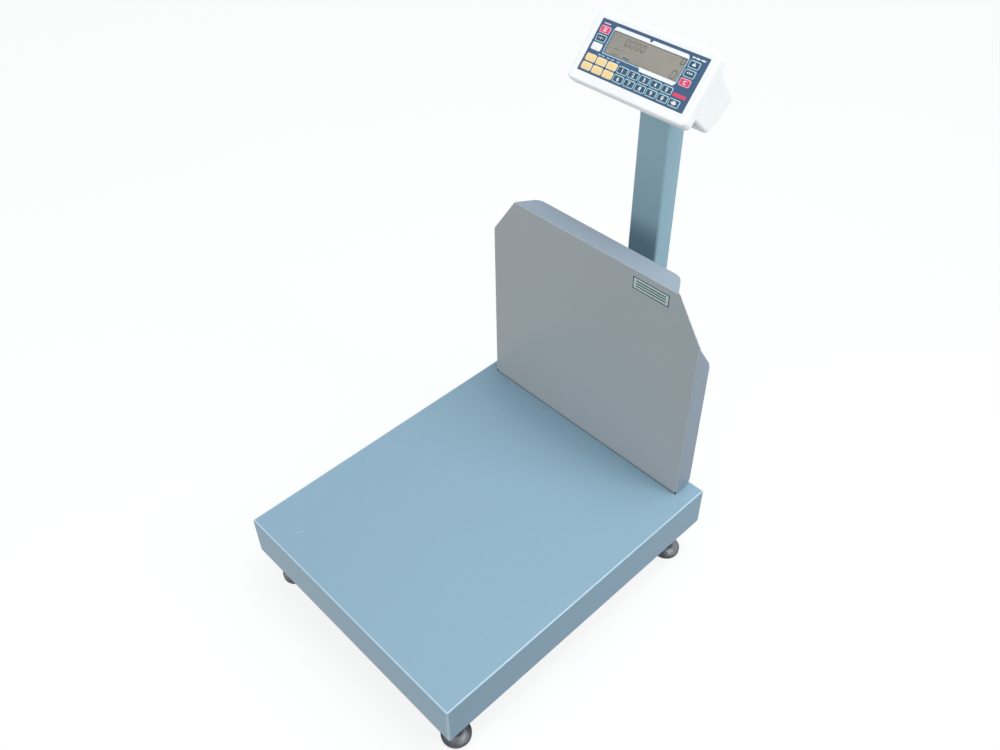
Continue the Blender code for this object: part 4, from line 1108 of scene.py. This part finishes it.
class SCALE_OT_keypad(bpy.types.Operator):
    """Shapes the keys, prints their legends, and prints the film"""

    bl_idname = "scale.keypad"
    bl_label = "Keypad"

    def execute(self, context):
        inks = settings("scale_keypad")
        self.white = ink("White Ink", inks.white)
        self.pale = ink("Pale Ink", inks.outline)
        self.red = ink("Red Ink", inks.red)
        self.red_edge = ink("Red Key Edge", inks.red_edge)
        self.grey = ink("Grey Ink", inks.grey)
        refined("keypad_overlay", ink("Film Blue", inks.film), "film", sharp=40)
        blue = (self.pale, ink("Key Blue", inks.key))
        yellow = (ink("Yellow Key Edge", inks.yellow_edge), ink("Yellow Ink", inks.yellow))
        tops = dict.fromkeys(PLAIN_KEYS + SIDE_KEYS, blue)
        tops.update(dict.fromkeys(YELLOW_KEYS, yellow))
        tops.update(dict.fromkeys(("key_power", "key_clear"), (self.red_edge, self.red)))
        tops["key_zero"] = (self.white, self.white)
        for name, finishes in tops.items():
            self.add_key(name, finishes)
        self.print_film()
        return {"FINISHED"}

    def add_key(self, name, finishes):
        """A key's raised top with its outline, standing for the CAD key, and its legend."""
        sizes = settings("scale_keypad")
        low, high = box_in(HEAD, name)
        width, height = high.x - low.x, high.y - low.y
        space = HEAD @ Matrix.Translation((*middle_of(low, high), 0))
        bevel = 0.0002
        levels = (
            (0, low.z),
            (0, -HAIR),
            (bevel, INK * 2),
            (sizes.ring, INK * 2.4),
            (sizes.ring + sizes.step / 2, sizes.crown * 0.8),
            (sizes.ring + sizes.step, sizes.crown),
        )
        rings = []
        for inset, z in levels:
            radius = max(sizes.corner - inset, sizes.corner / 3)
            outline = rounded(width - 2 * inset, height - 2 * inset, radius)
            rings.append([(x, y, z) for x, y in outline])
        mesh = loft(rings, [0, 0, 0, 1, 1, 1])
        body = body_of(name)
        put(f"{name}_cap", mesh, finishes, body, space, [name], sharp=60)
        self.add_legend(name, body, space, sizes.crown)

    def add_legend(self, name, body, space, top):
        """A digit, a plain word or a plain mark on a key."""
        sizes = settings("scale_keypad")
        low, high = top - HAIR, top + INK
        if name in YELLOW_KEYS:
            return
        finish = self.white
        if name in PLAIN_KEYS:
            mesh = lettering(name[-1], sizes.digit, low, high)
        elif name == "key_clear":
            mesh = lettering("C", sizes.digit * 0.9, low, high)
        elif name == "key_power":
            lines = (("ON", sizes.word_rise), ("OFF", -sizes.word_rise))
            mesh = joined([lettering(word, sizes.word, low, high, (0, y)) for word, y in lines])
        elif name == "key_zero":
            mesh, finish = cut_sheet([disc(0.6 * MM, (0, -2.6 * MM))], low, high), self.grey
        else:
            mesh = cut_sheet(self.marks(name), low, high)
        put(f"{name}_legend", mesh, [finish], body, space, sharp=30)

    def marks(self, name):
        """Outlines of the plain marks on a side key, from millimetres about its middle."""
        if name == "key_tare":
            arrows = [((4.4 * side, 1.1), (2.4 * side, 0), (4.4 * side, -1.1)) for side in (-1, 1)]
            shapes = [[(x * MM, y * MM) for x, y in arrow] for arrow in arrows]
            return [key_bar(3.0, 0.8, 0.2, 0, 1.1), key_bar(0.8, 2.4, 0.2, 0, -0.6), *shapes]
        if name == "key_weight":
            block = ((-3.0, -1.9), (3.0, -1.9), (2.2, 1.1), (-2.2, 1.1))
            middle = (0, 2.0 * MM)
            ring = [disc(1.1 * MM, middle, 12), disc(0.5 * MM, middle, 8)]
            return [[(x * MM, y * MM) for x, y in block], *ring]
        if name == "key_sample":
            return [key_bar(2.1, 2.1, 0.4, 3.4 * place, 0.6) for place in (-1, 0, 1)]
        paper, tray = key_bar(5.2, 1.3, 0.2, 0, 2.0), key_bar(5.2, 0.9, 0.2, 0, -2.1)
        return [key_bar(8.6, 2.4, 0.5, 0, -0.2), paper, tray]

    def print_film(self):
        """The bars, outlines and tick marks printed on the film, all from millimetres."""
        upper = film_shape(
            (27.9, 10.3), (27.9, 7.4), (30.4, 4.5), (90.9, 4.5), (94.4, 8.9), (97.9, 4.5),
            (160.6, 4.5), (163.1, 7.4), (163.1, 10.3),
        )
        lower = film_shape((96.0, 45.3), (163.1, 45.3), (163.1, 47.8), (160.4, 51.2), (99.6, 51.2))
        words = ((170.0, 4.6), (177.2, 7.0), (186.3, 7.4))
        ticks = [film_bar(x, 5.6, width, 2.0) for x, width in words]
        middle = on_film(95.4, 27.8)
        frame_line = [
            rounded(137.6 * MM, 38.6 * MM, 1.6 * MM, middle),
            rounded(135.2 * MM, 36.2 * MM, 0.6 * MM, middle),
        ]
        small = [film_bar(x, 50.5, 5.2, 1.3) for x in (24.5, 31.5, 41.5, 49.5, 60.5)]
        prints = (
            ("white", [upper, lower, *ticks], INK * 1.3, self.white, "key_white"),
            ("pale", frame_line + small, INK, self.pale, "overlay_blue"),
            ("red", [film_bar(178.6, 60.9, 22.6, 5.0)], INK, self.red, "key_red"),
            ("pink", [film_bar(11.9, 5.8, 12.6, 1.9, 0.4)], INK, self.red_edge, "key_red"),
        )
        for name, outlines, height, finish, slot in prints:
            printed(f"film_{name}_print", outlines, -HAIR, height, finish, slot)


def nought(x, y, width, height):
    """The six segments of a nought on the display, its lower left corner at x, y."""
    look = settings("scale_display")
    half, gap = look.stroke / 2, look.stroke * 0.12  # segments stop just short of one another
    levels = (half, height / 2, height - half)
    left_low, left_middle, left_top = ((half, level) for level in levels)
    right_low, right_middle, right_top = ((width - half, level) for level in levels)
    runs = (
        (left_top, right_top), (right_middle, right_top), (right_low, right_middle),
        (left_low, right_low), (left_low, left_middle), (left_middle, left_top),
    )
    outlines = []
    for run in runs:
        start, end = (Vector(point) for point in run)
        along = (end - start).normalized()
        across = Vector((-along.y, along.x)) * half
        start += along * gap
        end -= along * gap
        near, far = start + along * half, end - along * half
        points = [start, near - across, far - across, end, far + across, near + across]
        outlines.append([(x + p.x + p.y * math.tan(look.slant), y + p.y) for p in points])
    return outlines


class SCALE_OT_display(bpy.types.Operator):
    """Builds the display: its reflector, its digits with their shadows, and its clear window"""

    bl_idname = "scale.display"
    bl_label = "Display"

    def execute(self, context):
        look = settings("scale_display")
        low, high = box_in(HEAD, "display_window")
        face = -look.depth
        corner, backing = 0.0004, 0.0003
        pane = [rounded(high.x - low.x, high.y - low.y, corner, middle_of(low, high), 2)]
        values = {"Colour": look.face, "Deep": look.face_deep, "Roughness": 0.5, "Grain": 900.0}
        reflector = make_finish("Display Reflector", "Moulded Grain", values, 0.00001)
        digits = self.digit_outlines()
        right, down = look.shadow_right, look.shadow_down
        cast = [[(x + right, y - down) for x, y in outline] for outline in digits]
        shadow = moulded("Segment Shadow", look.shadow, 0.5)
        dark = moulded("Segment", look.segment, 0.4)
        sheets = (
            ("reflector", pane, face - backing, face, reflector),
            ("digit_shadows", cast, face - HAIR, face + HAIR, shadow),
            ("digits", digits, face, face + INK, dark),
        )
        for name, outlines, bottom, top, finish in sheets:
            printed(f"display_{name}", outlines, bottom, top, finish, "display_glass")
        mesh = cut_sheet(pane, -look.pane, 0)
        window = "display_window"
        put("display_pane", mesh, [self.clear_film()], "base", HEAD, [window])
        return {"FINISHED"}

    def digit_outlines(self):
        """The noughts, the point after the first, and short bars, placed from millimetres."""
        look = settings("scale_display")
        size = (look.digit_width, look.digit_height)
        left, base = on_film(54.6, 26.2)
        places = [(left + place * look.pitch, base, *size) for place in range(4)]
        places.append((*on_film(152.9, 21.4), *size))
        places.append((*on_film(147.6, 43.6), look.low_width, look.low_height))
        outlines = [outline for place in places for outline in nought(*place)]
        outlines.append(disc(0.7 * MM, (left + look.pitch - 1.1 * MM, base + 0.6 * MM), 8))
        bars = (
            (46.5, 34.2, 8.5, 1.1), (43.5, 42.2, 4.6, 1.1, 0.2), (50.0, 42.2, 4.6, 1.1, 0.2),
            (68.5, 41.8, 12.6, 2.2, 0.2),
        )
        return outlines + [film_bar(*bar) for bar in bars]

    def clear_film(self):
        """The window: a thin clear pane that mostly shows what is behind it."""
        material, tree, shader = new_material("Clear Window")
        place = object_place(tree)
        spreads = (("Alpha", 30.0, 0.05, 0.11), ("Roughness", 60.0, 0.06, 0.14))
        for name, scale, low, high in spreads:
            value = ranged(tree, noise(tree, place, scale, 3.0), 0.3, 0.7, low, high)
            tree.links.new(value, shader.inputs[name])
        tint = settings("scale_display").window
        shader.inputs["Base Color"].default_value = opaque(tint)
        return material


class SCALE_OT_studio(bpy.types.Operator):
    """Sets up the floor, the lamps, the world and the camera"""

    bl_idname = "scale.studio"
    bl_label = "Studio"

    def execute(self, context):
        scene = context.scene
        studio = settings("scale_studio")
        scene.view_settings.view_transform = "Standard"
        self.add_floor(studio)
        self.add_world(scene, studio)
        lamps = (
            ("Top Lamp", (0.9, 0.6, 5.2), 2.4, studio.top_lamp, (0.95, 0.98, 1.0)),
            ("Front Lamp", (-1.1, -4.4, 1.9), 2.2, studio.front_lamp, (1.0, 0.93, 0.86)),
            ("Side Lamp", (2.4, 0.4, 1.2), 0.6, studio.side_lamp, (0.40, 0.80, 1.0)),
            ("Head Lamp", (1.0, 0.5, 1.15), 0.5, studio.head_lamp, (1.0, 0.98, 0.96)),
        )
        for name, place, size, watts, tint in lamps:
            self.add_lamp(name, place, size, watts, tint)
        self.add_camera(scene, studio)
        return {"FINISHED"}

    def add_floor(self, studio):
        bm = bmesh.new()
        bmesh.ops.create_grid(bm, x_segments=1, y_segments=1, size=studio.floor / 2)
        floor = bpy.data.objects.new("Floor", to_mesh(bm))
        floor.location.z = -HAIR
        bpy.context.scene.collection.objects.link(floor)
        material, tree, shader = new_material("Pale Floor")
        shader.inputs["Roughness"].default_value = 0.9
        shader.inputs["Specular IOR Level"].default_value = 0.0
        white = add_node(tree, "ShaderNodeEmission", {"Color": WHITE, "Strength": 1.0}).outputs[0]
        seen = self.seen_rays(tree)
        tint = mixed(tree, seen, opaque(studio.bounce), WHITE)
        tree.links.new(tint, shader.inputs["Base Color"])
        share = maths(tree, "MULTIPLY", seen, studio.paleness)
        lifted = mixed_shader(tree, share, shader.outputs[0], white)
        back = add_node(tree, "ShaderNodeNewGeometry").outputs["Backfacing"]
        clear = add_node(tree, "ShaderNodeBsdfTransparent").outputs[0]
        surface = mixed_shader(tree, back, lifted, clear)
        tree.links.new(surface, tree.nodes["Material Output"].inputs["Surface"])
        floor.data.materials.append(material)

    def seen_rays(self, tree):
        """1 for rays from the camera, reflections and clear pieces, and 0 for soft light."""
        path = add_node(tree, "ShaderNodeLightPath").outputs
        mirror = maths(tree, "MAXIMUM", path["Is Glossy Ray"], path["Is Transmission Ray"])
        return maths(tree, "MAXIMUM", path["Is Camera Ray"], mirror)

    def add_world(self, scene, studio):
        world = bpy.data.worlds.new("Pale World")
        scene.world = world
        world.use_nodes = True
        tree = world.node_tree
        soft = tree.nodes["Background"]
        soft.inputs["Color"].default_value = opaque(studio.sky)
        soft.inputs["Strength"].default_value = studio.sky_strength
        white = add_node(tree, "ShaderNodeBackground", {"Color": WHITE, "Strength": 1.0}).outputs[0]
        both = mixed_shader(tree, self.seen_rays(tree), soft.outputs[0], white)
        tree.links.new(both, tree.nodes["World Output"].inputs["Surface"])

    def add_lamp(self, name, place, size, watts, tint):
        """A square lamp that points at the scale's middle."""
        lamp = bpy.data.lights.new(name, "AREA")
        lamp.size = size
        lamp.energy = watts
        lamp.color = tint
        holder = bpy.data.objects.new(name, lamp)
        holder.location = place
        low, high = CAD_BOUNDS
        aim = (low + high) / 2 - Vector(place)
        holder.rotation_euler = aim.to_track_quat("-Z", "Y").to_euler()
        bpy.context.scene.collection.objects.link(holder)

    def add_camera(self, scene, studio):
        camera = bpy.data.cameras.new("Camera")
        camera.sensor_width = 36
        camera.lens = studio.lens
        holder = bpy.data.objects.new("Camera", camera)
        holder.location = studio.camera_place
        holder.rotation_euler = Euler(studio.camera_turn)
        scene.collection.objects.link(holder)
        scene.camera = holder


class SCALE_PT_panel(bpy.types.Panel):
    """Lists the operators and their sizes and colours."""

    bl_idname = "SCALE_PT_panel"
    bl_label = "Counting Scale"
    bl_space_type = "VIEW_3D"
    bl_region_type = "UI"
    bl_category = "Scale"

    def draw(self, context):
        for operator in OPERATORS:
            self.layout.operator(operator.bl_idname)
        for name in SETTINGS:
            box = self.layout.box()
            group = getattr(context.scene, name)
            for key in group.bl_rna.properties.keys():
                if key not in ("rna_type", "name"):
                    box.prop(group, key)


OPERATORS = (
    SCALE_OT_studio, SCALE_OT_platform, SCALE_OT_underside, SCALE_OT_feet, SCALE_OT_housing,
    SCALE_OT_keypad, SCALE_OT_display,
)


def register():
    for group in SETTINGS.values():
        bpy.utils.register_class(group)
    for name, group in SETTINGS.items():
        setattr(bpy.types.Scene, name, PointerProperty(type=group))
    for made in (*OPERATORS, SCALE_PT_panel):
        bpy.utils.register_class(made)


def unregister():
    for made in (SCALE_PT_panel, *reversed(OPERATORS)):
        bpy.utils.unregister_class(made)
    for name, group in SETTINGS.items():
        delattr(bpy.types.Scene, name)
        bpy.utils.unregister_class(group)


def main():
    register()
    bpy.ops.scale.studio()
    bpy.ops.scale.platform()
    bpy.ops.scale.underside()
    bpy.ops.scale.feet()
    bpy.ops.scale.housing()
    bpy.ops.scale.keypad()
    bpy.ops.scale.display()


if __name__ == "__main__":
    main()
